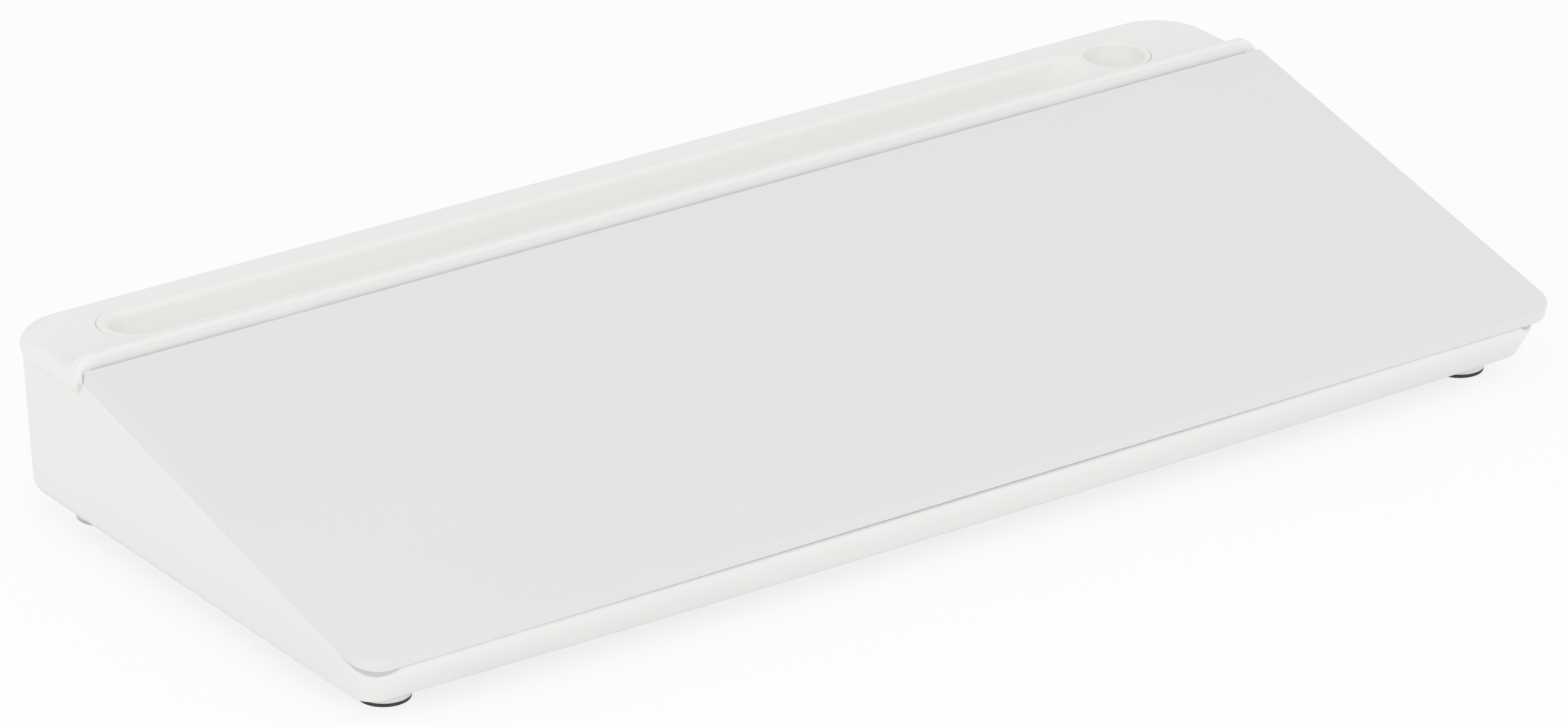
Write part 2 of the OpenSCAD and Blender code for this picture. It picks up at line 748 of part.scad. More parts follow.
module lid_plate() {
  rib_x = glass_half - plate_edge - plate_corner_r;
  rib_y0 = plate_edge + plate_corner_r / 4;
  rib_y1 = glass_w - plate_rear_inset - plate_corner_r / 4;
  color(white) on_slope() {
    translate([0, 0, -rib_top]) linear_extrude(height = plate_t) lid_plan();
    translate([0, 0, -rib_top - lid_rib_h]) linear_extrude(height = lid_rib_h + eps) {
      for (i = [0:lid_ribs - 1])
        translate([rib_x * (2 * i / (lid_ribs - 1) - 1) - lid_rib_t / 2, rib_y0])
          square([lid_rib_t, rib_y1 - rib_y0]);
      for (y = [rib_y0, (rib_y0 + rib_y1) / 2, rib_y1])
        translate([-rib_x, y - lid_rib_t / 2]) square([2 * rib_x, lid_rib_t]);
    }
    for (s = [-1, 1])
      translate([s * hinge_x, 0, 0]) along_x(knuckle_l) difference() {
        union() {
          translate([hinge_v, -hinge_drop]) circle(r = knuckle_r);
          translate([glass_w - strap_l, -hinge_drop - knuckle_r]) square([strap_l + hinge_back, strap_t]);
        }
        translate([hinge_v, -hinge_drop]) circle(r = pin_r + pin_play);
      }
  }
}

module hinge_pin(side) {
  color(steel) at_datum() translate([side * hinge_x, hinge_y, hinge_z]) rotate([0, 90, 0])
    cylinder(r = pin_r, h = knuckle_l + 2 * (ear_gap + ear_t), center = true);
}

module hinge_pin_left() {
  hinge_pin(-1);
}

module hinge_pin_right() {
  hinge_pin(1);
}

module corner_bumper(side) {
  color(pad_grey) intersection() {
    bumper_seat(side, bumper_fit);
    at_datum() linear_extrude(height = big) tub_plan(0);
    on_slope() translate([side * glass_half, 0, -bumper_h - bumper_gap]) rotate([0, 0, side * 45])
      translate([-big / 2, -bumper_l, 0]) cube([big, 2 * bumper_l, bumper_h]);
  }
}

module corner_bumper_left() {
  corner_bumper(-1);
}

module corner_bumper_right() {
  corner_bumper(1);
}

module foot(p) {
  color(white) at_datum() translate([p[0], p[1], pad_t]) difference() {
    cylinder(d = foot_d, h = foot_h);
    translate([0, 0, -embed]) cylinder(d = screw_d + 2 * screw_play, h = foot_h + 2 * embed);
    translate([0, 0, -embed]) cylinder(d = head_d + 2 * head_play, h = head_h + embed + eps);
  }
}

module foot_front_left() {
  foot(foot_front_left_at);
}

module foot_front_right() {
  foot(foot_front_right_at);
}

module foot_rear_left() {
  foot(foot_rear_left_at);
}

module foot_rear_right() {
  foot(foot_rear_right_at);
}

module foot_pad(p) {
  at_datum() translate([p[0], p[1], 0]) cylinder(d = pad_d, h = pad_t);
}

module foot_pad_front_left() {
  color(rubber_black) foot_pad(foot_front_left_at);
}

module foot_pad_front_right() {
  color(rubber_black) foot_pad(foot_front_right_at);
}

module foot_pad_rear_left() {
  color(pad_grey) foot_pad(foot_rear_left_at);
}

module foot_pad_rear_right() {
  color(pad_grey) foot_pad(foot_rear_right_at);
}

// Pan-head screw, head down; z is the height of the bearing face under the head
module screw(p, z, shank_l) {
  at_datum() translate([p[0], p[1], z]) {
    translate([0, 0, -head_h]) cylinder(d = head_d, h = head_h);
    cylinder(d = screw_d, h = shank_l);
  }
}

module foot_screws() {
  color(steel) for (p = foot_places) screw(p, foot_head_z, foot_screw_l);
}

module cap_screws() {
  color(steel) for (p = cap_screw_places) screw(p, cap_head_z, cap_screw_l);
}

base_tub();
rear_cap();
pen_tray();
glass_panel();
glass_backing();
bond_tape();
lid_plate();
hinge_pin_left();
hinge_pin_right();
corner_bumper_left();
corner_bumper_right();
foot_front_left();
foot_front_right();
foot_rear_left();
foot_rear_right();
foot_pad_front_left();
foot_pad_front_right();
foot_pad_rear_left();
foot_pad_rear_right();
foot_screws();
cap_screws();
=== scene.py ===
import json
import math

import bmesh
import bpy
from mathutils import Matrix, Vector


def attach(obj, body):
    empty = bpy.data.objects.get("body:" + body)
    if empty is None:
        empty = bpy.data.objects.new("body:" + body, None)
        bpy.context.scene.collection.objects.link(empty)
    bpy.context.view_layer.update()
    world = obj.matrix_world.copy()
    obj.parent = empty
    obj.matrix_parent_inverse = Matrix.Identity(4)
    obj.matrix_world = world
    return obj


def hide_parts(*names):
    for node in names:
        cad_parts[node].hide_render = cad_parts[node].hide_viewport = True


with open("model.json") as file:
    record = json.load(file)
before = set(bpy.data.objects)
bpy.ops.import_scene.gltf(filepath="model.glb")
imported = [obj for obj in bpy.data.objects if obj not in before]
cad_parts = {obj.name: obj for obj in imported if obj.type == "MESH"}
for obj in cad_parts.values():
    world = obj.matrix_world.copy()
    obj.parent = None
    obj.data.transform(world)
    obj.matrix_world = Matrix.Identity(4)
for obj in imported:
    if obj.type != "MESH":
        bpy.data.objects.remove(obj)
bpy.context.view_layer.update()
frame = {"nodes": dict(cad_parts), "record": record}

# Sizes are in millimetres. A y is measured back from the lower front edge of the glass, and a z up from the
# table. The main sizes are those of the solids; edges, gaps and bumpers are fitted to what is seen.
MM = 0.001
EPS = 0.001
MERGE = 0.0001  # points closer than this become one
LAP = 1.0  # how far a piece reaches into what carries it, and a small cutter past the face it cuts
PAST = 5.0  # how far the cap's cutters reach past it
SIDES = ((-1, "left"), (1, "right"))

# Slope of the glass
SLOPE = math.radians(13.5)
SIN = math.sin(SLOPE)
COS = math.cos(SLOPE)
TAN = math.tan(SLOPE)

# Glass panel
GLASS_HALF = 225.0  # half its length
GLASS_W = 159.2
GLASS_T = 4.0
GLASS_FRONT_R = 9.5
GLASS_REAR_R = 1.0
GLASS_ARRIS = 0.3  # rounding of its edges
GLASS_BORDER = 4.0  # width of its clear border
BORDER_REAR_R = 1.0

# Feet and pads; an edge is given by where its rounding starts and by how far its middle lies in
PAD_T = 1.2
PAD_R = 8.2
PAD_LOWER_EDGE = (0.45, 0.12)
PAD_UPPER_EDGE = (0.3, 0.1)
FOOT_H = 4.8
FOOT_R = 8.5
FOOT_EDGE = (0.5, 0.15)
FOOT_CHAMFER = 0.4

# Heights of the tub
UNDER_Z = PAD_T + FOOT_H
FLOOR_T = 2.5
FLOOR_Z = UNDER_Z + FLOOR_T
FRONT_RISE = 14.4
FRONT_Z = UNDER_Z + FRONT_RISE  # lower front edge of the glass

# Rear cap, with its ridge, ledge and skirt
CAP_HALF = 226.0
CAP_DEPTH = 48.3
CAP_WALL = 2.4
CAP_REAR_R = 19.5
CAP_FRONT_R = 2.0
CAP_EDGE_R = 3.4
RIDGE_GAP = 1.2  # from the glass's lower rear edge to the ridge
RIDGE_Y = GLASS_W * COS + RIDGE_GAP
CAP_REAR_Y = RIDGE_Y + CAP_DEPTH
LIP_DROP = 1.2  # of the ridge's lower edge below the top of the glass
LIP_Z = FRONT_Z + GLASS_W * SIN + GLASS_T * COS - LIP_DROP
LIP_HANG = 0.2  # of the edge that is seen, below that of the solids
LIP_SEEN = LIP_Z - LIP_HANG
RIDGE_RISE = 3.95  # of the crest above the lower edge
RIDGE_Z = LIP_Z + RIDGE_RISE
RIDGE_H = 5.3  # of the crest above the ledge
RIDGE_EDGE_R = 1.1
RIDGE_FLAT = 2.2
RIDGE_RUN = 8.5  # length of the slope behind the crest
RIDGE_LEAN = 1.5
RIDGE_END_R = 6.2
RIDGE_TURN = 0.97  # share of the ridge's half length where its ends start to turn
RIDGE_TURN_R = 4.2
CREST_Y = RIDGE_Y + RIDGE_EDGE_R + RIDGE_FLAT
LEDGE_Z = RIDGE_Z - RIDGE_H
LEDGE_START = 5.0  # level stretch behind the ridge's slope
SKIRT_H = 5.7
PART_Z = LEDGE_Z - SKIRT_H  # joint between the cap and the tub
SKIRT_TUCK = 1.3
SKIRT_ROUND = 2.3
SKIRT_TURN = math.radians(80)
HOLLOW_FRONT_R = 0.5
HOLLOW_CHAMFER = 0.8

# Cheeks at the ends of the ridge, and their toes beside the glass's rear corners
CHEEK_LAP = 0.9
CHEEK_W = 5.0
CHEEK_Y = RIDGE_Y + CHEEK_LAP
TOE = 0.6  # how far it stands out in front of the ridge
TOE_INSET = 0.8
TOE_LAP = 0.9
TOE_ROOT_Y = 1.5
TOE_ROOT_RISE = 0.6
TOE_BACK = 2.5
TOE_R = 0.55
TOE_SHARP = 30

# Tub
CAP_OVERHANG = 1.0
TUB_HALF = 224.5
TUB_FRONT_Y = 0.5
TUB_REAR_Y = CAP_REAR_Y - CAP_OVERHANG
TUB_REAR_R = 15.0
RIM_FRONT_R = 15.0
RIM_GAP = 0.3  # below the glass
RIM_SAG = 0.7  # extra gap at the middle of the front, for a finger
SAG_HALF = 170.0
RIM_R = 1.2  # rounding of the rim under the glass
SEAT_EDGE_R = 0.5  # rounding of the rim under the cap
BOTTOM_FRONT_R = 8.5
BOTTOM_FRONT_EDGE_R = 2.5
BOTTOM_REAR_EDGE_R = 5.5
UNDERCUT = 7.4
SIDE_UNDERCUT = 4.2
FRONT_BOW = 2.3
WALL = 2.6
FLOOR_EDGE_R = 3.0
BAND_H = 4.7
BAND_LEAN = 0.72
BAND_DROP = RIM_GAP + BAND_H
LOW_BAND = 0.97  # share of the wall's height where the band starts if the rim lies below its foot
FRONT_WALL_H = FRONT_RISE - BAND_DROP / COS
REAR_DRAFT = math.radians(1.75)
REAR_INSET = (FRONT_WALL_H + TUB_REAR_Y * TAN) * math.tan(REAR_DRAFT)
SIDE_FRONT_Y = TUB_FRONT_Y + RIM_FRONT_R
SIDE_REAR_Y = TUB_REAR_Y - TUB_REAR_R
ROOM_FOOT = 0.5

# Corner bumpers and the posts under them
BUMPER_H = 3.8
BUMPER_SEAT_R = 15.0
BUMPER_L = 14.0
BUMPER_INSET = 0.9
BUMPER_GAP = 0.3
BUMPER_FIT = 0.03
BUMPER_BEVEL = 0.2
POST_INSET = 7.5
POST_R = 6.5
POST_EDGE = 0.3
POST_SHARES = (0.66, 0.33)  # radii of the rings on its curved top
POST_CLEAR = 0.02

# Pen tray and the collar that carries it
TRAY_R = 12.2
TRAY_BACK = 26.0
TRAY_Y = RIDGE_Y + TRAY_BACK
TRAY_LEFT = -189.6
TRAY_RIGHT = 186.4
TRAY_WALL = 1.2
TRAY_GAP = 0.3  # round the cup, where it isn't seen
TRAY_FIT = 0.04
JOINT_W = 0.15  # the joint that is seen round the tray
JOINT_R = TRAY_R + JOINT_W
JOINT_DEPTH = 0.25
JOINT_FOOT = 0.35
JOINT_CHAMFER = 0.15
JOINT_PAST = 0.3
FLANGE_T = 2.0
FLANGE_EDGE = (0.2, 0.06)
GROOVE_R = 8.0
GROOVE_SOFT = 2.0
GROOVE_END = 26.4
GROOVE_STOP = TRAY_RIGHT - GROOVE_END
GROOVE_RAMP = 14.8
RAMP_POWER = 0.75
RAMP_SQUARE = 0.5
WELL_R = 10.0
WELL_H = 7.5
WELL_POWER = 2.4
WELL_SOFT = 0.8
SOFT_TURN = math.radians(83)
COLLAR_H = 4.5
COLLAR_T = 2.0
COLLAR_LAP = 0.5
COLLAR_CHAMFER = 0.3
SEAT_GAP = 0.05

# Hinge, bulkhead and storage ribs
HINGE_X = 150.0
HINGE_BACK = 2.6
HINGE_DROP = 0.4
HINGE_V = GLASS_W + HINGE_BACK  # along the slope
HINGE_Y = HINGE_V * COS + HINGE_DROP * SIN
HINGE_Z = FRONT_Z + HINGE_V * SIN - HINGE_DROP * COS
KNUCKLE_R = 2.1
KNUCKLE_L = 14.0
PIN_R = 1.02
EAR_T = 3.0
EAR_GAP = 0.3
EAR_LAP = 0.5
EAR_BEVEL = 0.25
BULKHEAD_GAP = 0.8
BULKHEAD_Y = HINGE_Y + KNUCKLE_R + BULKHEAD_GAP
BULKHEAD_T = 2.0
BULKHEAD_BACK_Y = BULKHEAD_Y + BULKHEAD_T
BULKHEAD_LAP = 0.6
BULKHEAD_TAPER = 1.6
BULKHEAD_TAPER_H = 4.0
BULKHEAD_FIT = 0.2
BULKHEAD_BEVEL = 0.3
RIB_X = 75.0
RIB_T = 1.8
RIB_DROP = 9.0
RIB_FRONT_Y = 9.5
RIB_BEVEL = 0.4

# Screws and bosses
SCREW_R = 1.65
HEAD_R = 3.2
HEAD_DEPTH = 2.02
PILOT_R = 1.52
VENT_R = 0.4
BOSS_R = 4.5
BOSS_EDGE = (0.6, 0.2)
BOSS_LAP = 0.5
FOOT_BOSS_H = 9.0
FOOT_BOSS_HOLE = 5.0
TOWER_H = 24.0
TOWER_ROOF = 3.0
CAP_BOSS_R = 3.0
CAP_BOSS_CHAMFER = 0.2
CAP_SCREW_X = (70.0, 192.0)
CAP_SCREW_Y = BULKHEAD_BACK_Y + BOSS_R - BOSS_LAP
FOOT_REAR_BACK = 14.7
FOOT_FRONT = (203.7, 22.5)
FOOT_REAR = (206.5, BULKHEAD_BACK_Y + FOOT_REAR_BACK)

# Where the lower front edge of the glass lies in the shared frame
DEPTH = GLASS_T * SIN + CAP_REAR_Y
DATUM_Y = GLASS_T * SIN - DEPTH / 2

# Steps on curves
CORNER_STEPS = 16
FINE_CORNER_STEPS = 20
TUB_SIDE_SHARES = [i / 12 for i in range(1, 10)]  # places along the side, in front of the cheeks
TUB_SIDE_LAST = 0.9  # the place behind them
TUB_FRONT_STEPS = 24
FOOT_ARC_STEPS = 7
WALL_SHARES = (0.3, 0.55)  # places up the tub's wall, below its bend into the band
BEND_FROM = 0.75  # share of the wall
BEND_TO = 0.5  # share of the band
BEND_STEPS = 8
BAND_SHARES = (0.75, 1.0)
INNER_SHARES = (0.0, 0.5)
RIM_STEPS = 5
BEVEL_STEPS = 3
CAP_CORNER_STEPS = 14
CAP_SLOPE_STEPS = 18
CAP_EDGE_STEPS = 10
SKIRT_STEPS = 5
TRAY_END_STEPS = 36
RAMP_STEPS = 48
SOFT_STEPS = 6
GROOVE_ANGLES = (14, 20, 27, 35, 43, 52, 61, 70, 79, 86)
TROUGH_ANGLES = range(15, 90, 10)
BOWL_ANGLES = (15, 22, 30, 39, 48, 58, 68, 79, 90)
BUMPER_RIM_STEPS = 24
BUMPER_STEPS = 32
EAR_STEPS = 24
POST_STEPS = 48
RECESS_STEPS = 32
CUP_STEPS = 64
WELL_STEPS = 72
FOOT_STEPS = 64
ARRIS_STEPS = 4

# Materials
SOFT_DETAIL = 3.0
FINE_DETAIL = 2.0
ROUGH_SPREAD = 0.12
SPECK_SHADE = 0.8
GRAIN_DEPTH = 0.0002  # in metres
COAT_ROUGH = 0.04


def material(name, colour, rough, vary=0.02, vary_scale=60.0, grain=0.02, grain_scale=900.0, coat=0.0,
             metal=0.0, spots=0.0):
    """Node material: soft variation of colour and roughness, a fine moulded or ground grain, dark specks."""
    result = bpy.data.materials.new(name)
    result.use_nodes = True
    nodes = result.node_tree.nodes
    links = result.node_tree.links
    nodes.clear()
    out = nodes.new("ShaderNodeOutputMaterial")
    bsdf = nodes.new("ShaderNodeBsdfPrincipled")
    links.new(bsdf.outputs["BSDF"], out.inputs["Surface"])
    coords = nodes.new("ShaderNodeTexCoord")

    def noise(scale, detail):
        node = nodes.new("ShaderNodeTexNoise")
        node.inputs["Scale"].default_value = scale
        node.inputs["Detail"].default_value = detail
        links.new(coords.outputs["Object"], node.inputs["Vector"])
        return node.outputs["Fac"]

    def span(source, low, high):
        node = nodes.new("ShaderNodeMapRange")
        node.inputs["To Min"].default_value = low
        node.inputs["To Max"].default_value = high
        links.new(source, node.inputs["Value"])
        return node.outputs["Result"]

    def mix(factor, a, b):
        node = nodes.new("ShaderNodeMix")
        node.data_type = "RGBA"
        links.new(factor, node.inputs["Factor"])
        for socket, value in (("A", a), ("B", b)):
            if isinstance(value, bpy.types.NodeSocket):
                links.new(value, node.inputs[socket])
            else:
                node.inputs[socket].default_value = list(value) + [1]
        return node.outputs["Result"]

    soft = noise(vary_scale, SOFT_DETAIL)
    fine = noise(grain_scale, FINE_DETAIL)
    tint = mix(soft, [c * (1 - vary) for c in colour], [min(1, c * (1 + vary)) for c in colour])
    if spots:
        speck = nodes.new("ShaderNodeTexVoronoi")
        speck.inputs["Scale"].default_value = grain_scale / 2
        links.new(coords.outputs["Object"], speck.inputs["Vector"])
        tint = mix(span(speck.outputs["Distance"], spots, 0.0), tint, [c * SPECK_SHADE for c in colour])
    links.new(tint, bsdf.inputs["Base Color"])
    rougher = min(1, rough * (1 + ROUGH_SPREAD))
    links.new(span(soft, rough * (1 - ROUGH_SPREAD), rougher), bsdf.inputs["Roughness"])
    bump = nodes.new("ShaderNodeBump")
    bump.inputs["Strength"].default_value = grain
    bump.inputs["Distance"].default_value = GRAIN_DEPTH
    links.new(fine, bump.inputs["Height"])
    links.new(bump.outputs["Normal"], bsdf.inputs["Normal"])
    bsdf.inputs["Metallic"].default_value = metal
    bsdf.inputs["Coat Weight"].default_value = coat
    bsdf.inputs["Coat Roughness"].default_value = COAT_ROUGH
    return result


SLOTS = {
    "white_abs": material("white_abs", (0.848, 0.844, 0.829), 0.45, vary=0.008, grain=0.06,
                          grain_scale=1400),
    "white_glass": material("white_glass", (0.755, 0.755, 0.755), 0.35, vary=0.008, vary_scale=20,
                            grain=0.01, coat=0.8),
    "white_film": material("white_film", (0.82, 0.82, 0.82), 0.7, grain=0.05),
    "foam_tape": material("foam_tape", (0.55, 0.55, 0.57), 0.85, vary=0.05, grain=0.4, grain_scale=1800,
                          spots=0.3),
    "steel": material("steel", (0.55, 0.55, 0.57), 0.3, vary=0.04, vary_scale=300, metal=1.0),
    "grey_rubber": material("grey_rubber", (0.62, 0.62, 0.625), 0.6, vary=0.03, grain=0.1),
    "black_rubber": material("black_rubber", (0.040, 0.038, 0.035), 0.65, vary=0.08, grain=0.25, spots=0.1),
}
GLASS_EDGE = material("white_glass_edge", (0.755, 0.755, 0.753), 0.25, vary=0.012, vary_scale=40,
                      grain=0.01, coat=0.6)

for part in frame["record"]["subparts"]:
    node = frame["nodes"][part["node"]]
    node.data.materials.clear()
    node.data.materials.append(SLOTS[part["material_slot"]])


# Mesh building

def clamp(value):
    return min(1, max(0, value))


def lerp(a, b, t):
    return tuple(p + (q - p) * t for p, q in zip(a, b))


def arc(cx, cy, r, a0, a1, steps):
    """Points on an arc, angles in degrees."""
    angles = [math.radians(a0 + (a1 - a0) * i / steps) for i in range(steps + 1)]
    return [(cx + r * math.cos(a), cy + r * math.sin(a)) for a in angles]


def circle(cx, cy, r, steps):
    return arc(cx, cy, r, 0, 360, steps)[:-1]


def quarter(steps):
    """Angles from 0 to 90 degrees, in radians."""
    return [math.pi / 2 * i / steps for i in range(steps + 1)]


def new_object(name, verts, faces, marks=None):
    """Object from points in millimetres; marks gives some faces another material."""
    mesh = bpy.data.meshes.new(name)
    mesh.from_pydata([(x * MM, (y + DATUM_Y) * MM, z * MM) for x, y, z in verts], [], faces)
    if marks:
        mesh.polygons.foreach_set("material_index", marks)
    work = bmesh.new()
    work.from_mesh(mesh)
    bmesh.ops.remove_doubles(work, verts=work.verts, dist=MERGE * MM)
    bmesh.ops.recalc_face_normals(work, faces=work.faces)
    work.to_mesh(mesh)
    work.free()
    obj = bpy.data.objects.new(name, mesh)
    bpy.context.scene.collection.objects.link(obj)
    return obj


def stack(name, rings, closed=False):
    """Body through rings with equal numbers of points, with its ends filled or, if closed, joined."""
    n = len(rings[0])
    count = len(rings)
    faces = []
    for j in range(count if closed else count - 1):
        k = (j + 1) % count
        faces += [(j * n + i, j * n + (i + 1) % n, k * n + (i + 1) % n, k * n + i) for i in range(n)]
    if not closed:
        faces += [tuple(range(n)), tuple(range((count - 1) * n, count * n))]
    return new_object(name, [p for r in rings for p in r], faces)


def lathe(name, profile, x, y, steps=48):
    """Closed (radius, z) profile turned about an upright axis."""
    angles = [2 * math.pi * i / steps for i in range(steps)]
    rings = [[(x + r * math.cos(a), y + r * math.sin(a), z) for r, z in profile] for a in angles]
    return stack(name, rings, closed=True)


def prism(name, outline, x0, x1):
    """(y, z) outline drawn out along X."""
    return stack(name, [[(x, y, z) for y, z in outline] for x in (x0, x1)])


def rounded_edge(r, z, size, up):
    """Edge of a turned shape, from its side to its end; up is 1 for an upper edge and -1 for a lower one."""
    start, middle = size
    return [(r, z - up * start), (r - middle, z - up * middle), (r - start, z)]


def half_outline(xf, xr, y0, y1, rf, rr, fronts=(1.0,), sides=(), bow=0.0, corner=CORNER_STEPS):
    """Right half of a rounded outline, from front to rear, as rows of x, y and the outward normal.
    fronts are places along the front edge, and sides are (x, y) points along the side."""
    turns = [(math.sin(a), math.cos(a)) for a in quarter(corner)]
    rows = [(t * (xf - rf), y0 - bow * (1 - t * t), 0, -1) for t in fronts]
    rows += [(xf - rf + rf * s, y0 + rf - rf * c, s, -c) for s, c in turns[1:]]
    rows += [(x, y, 1, 0) for x, y in sides]
    rows += [(xr - rr + rr * c, y1 - rr + rr * s, c, s) for s, c in turns]
    return rows


def mirrored(points):
    """Closed ring from the points of its right half."""
    return points + [(-x, y, z) for x, y, z in reversed(points)]


def ring(rows, inset, height):
    """Closed ring from an outline's rows, moved in and set to heights, each one number or a list."""
    insets = inset if isinstance(inset, list) else [inset] * len(rows)
    heights = height if isinstance(height, list) else [height] * len(rows)
    return mirrored([(x - nx * d, y - ny * d, z) for (x, y, nx, ny), d, z in zip(rows, insets, heights)])


def loft(name, rings, marked=()):
    """Body through mirrored rings, its ends filled with strips; marked spans take the second material."""
    n = len(rings[0])
    faces = []
    marks = []
    for j in range(len(rings) - 1):
        for i in range(n):
            h = (i + 1) % n
            faces.append((j * n + i, j * n + h, (j + 1) * n + h, (j + 1) * n + i))
            marks.append(1 if j in marked else 0)
    for first in (0, (len(rings) - 1) * n):
        for i in range(n // 2 - 1):
            faces.append((first + i, first + i + 1, first + n - 2 - i, first + n - 1 - i))
            marks.append(0)
    return new_object(name, [p for r in rings for p in r], faces, marks)


def settle(obj):
    """Writes an object's modifiers into its mesh."""
    bpy.context.view_layer.update()
    evaluated = obj.evaluated_get(bpy.context.evaluated_depsgraph_get())
    mesh = bpy.data.meshes.new_from_object(evaluated)
    old = obj.data
    obj.modifiers.clear()
    obj.data = mesh
    mesh.name = obj.name
    bpy.data.meshes.remove(old)


def cut(obj, *cutters, operation="DIFFERENCE"):
    """Takes the cutters' space out of an object, joins it to them or keeps only what lies inside them."""
    for cutter in cutters:
        mod = obj.modifiers.new("cut", "BOOLEAN")
        mod.operation = operation
        mod.solver = "EXACT"
        mod.object = cutter
    settle(obj)
    for cutter in cutters:
        mesh = cutter.data
        bpy.data.objects.remove(cutter)
        bpy.data.meshes.remove(mesh)


def soften(obj, width, sharp):
    """Rounds the edges that turn by more than the sharp angle, in degrees."""
    mod = obj.modifiers.new("bevel", "BEVEL")
    mod.width = width * MM
    mod.segments = BEVEL_STEPS
    mod.limit_method = "ANGLE"
    mod.angle_limit = math.radians(sharp)
    settle(obj)
    return obj


def piece(obj, body, slot, node_name, bevel=0.0, sharp=32, more=()):
    """Smooths an object, gives it its finish, ties it to its body and hides the node it stands for."""
    if bevel:
        soften(obj, bevel, sharp)
    mesh = obj.data
    mesh.polygons.foreach_set("use_smooth", [True] * len(mesh.polygons))
    mesh.set_sharp_from_angle(angle=math.radians(sharp))
    mod = obj.modifiers.new("normals", "WEIGHTED_NORMAL")
    mod.keep_sharp = True
    mesh.materials.clear()
    for finish in (SLOTS[slot],) + more:
        mesh.materials.append(finish)
    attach(obj, body)
    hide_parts(node_name)


# Tub

def under_glass(y):
    """Height of the underside of the glass."""
    return FRONT_Z + y * TAN


def on_slope(points):
    """Points given along and above the underside of the glass."""
    return [(x, v * COS - w * SIN, FRONT_Z + v * SIN + w * COS) for x, v, w in points]


def seat_depth(x, y):
    """Depth of a corner bumper's seat below the glass, along the diagonal of the corner."""
    across = (GLASS_HALF - abs(x) - y / COS) / math.sqrt(2)
    return BUMPER_H - BUMPER_SEAT_R + math.sqrt(max(0, BUMPER_SEAT_R ** 2 - across ** 2))


def rim_top(x, y):
    """Height of the tub's upper edge: the rim under the glass, or the seat of the cap behind it."""
    if y > CHEEK_Y + EPS:
        return PART_Z
    drop = RIM_GAP
    if y < RIM_FRONT_R and abs(x) < SAG_HALF:
        drop += RIM_SAG * (1 - (x / SAG_HALF) ** 2)
    if y < RIM_FRONT_R and abs(x) > SAG_HALF:
        drop = max(drop, seat_depth(x, y))
    return under_glass(y) - drop / COS


def tub_outline(xf, xr, y0, y1, rf, rr, bow=0.0):
    """Outline at one height of the tub, with points where the rim steps down behind the cheeks."""
    step_y = CHEEK_Y + (under_glass(CHEEK_Y) - PART_Z) * TAN
    steps = [(y - SIDE_FRONT_Y) / (SIDE_REAR_Y - SIDE_FRONT_Y) for y in (CHEEK_Y, step_y)]
    shares = TUB_SIDE_SHARES + steps + [TUB_SIDE_LAST]
    sides = [lerp((xf, y0 + rf), (xr, y1 - rr), t) for t in shares]
    fronts = [(i + 0.5) / TUB_FRONT_STEPS for i in range(TUB_FRONT_STEPS)] + [1.0]
    return half_outline(xf, xr, y0, y1, rf, rr, fronts, sides, bow, FINE_CORNER_STEPS)


def band_foot(rim, bottom):
    """Foot of the band under the rim, which leans in by a share of what one straight wall would."""
    glass_z = under_glass(rim[1])
    z = glass_z - BAND_DROP / COS
    straight = lerp(rim[:2], bottom[:2], (glass_z - z) / (glass_z - UNDER_Z))
    return lerp(rim[:2], straight, BAND_LEAN) + (z,)


def foot_arc(row, radius, z, target):
    """Rounded foot of a wall: from the flat to where the straight wall up to the target leaves it."""
    x, y, nx, ny = row
    cx = x - nx * radius
    cy = y - ny * radius
    cz = z + radius
    out = (target[0] - cx) * nx + (target[1] - cy) * ny
    rise = target[2] - cz
    end = math.atan2(rise, out) - math.acos(radius / math.hypot(out, rise))
    points = []
    for i in range(FOOT_ARC_STEPS + 1):
        a = -math.pi / 2 + (end + math.pi / 2) * i / FOOT_ARC_STEPS
        reach = radius * math.cos(a)
        points.append((cx + nx * reach, cy + ny * reach, cz + radius * math.sin(a)))
    return points


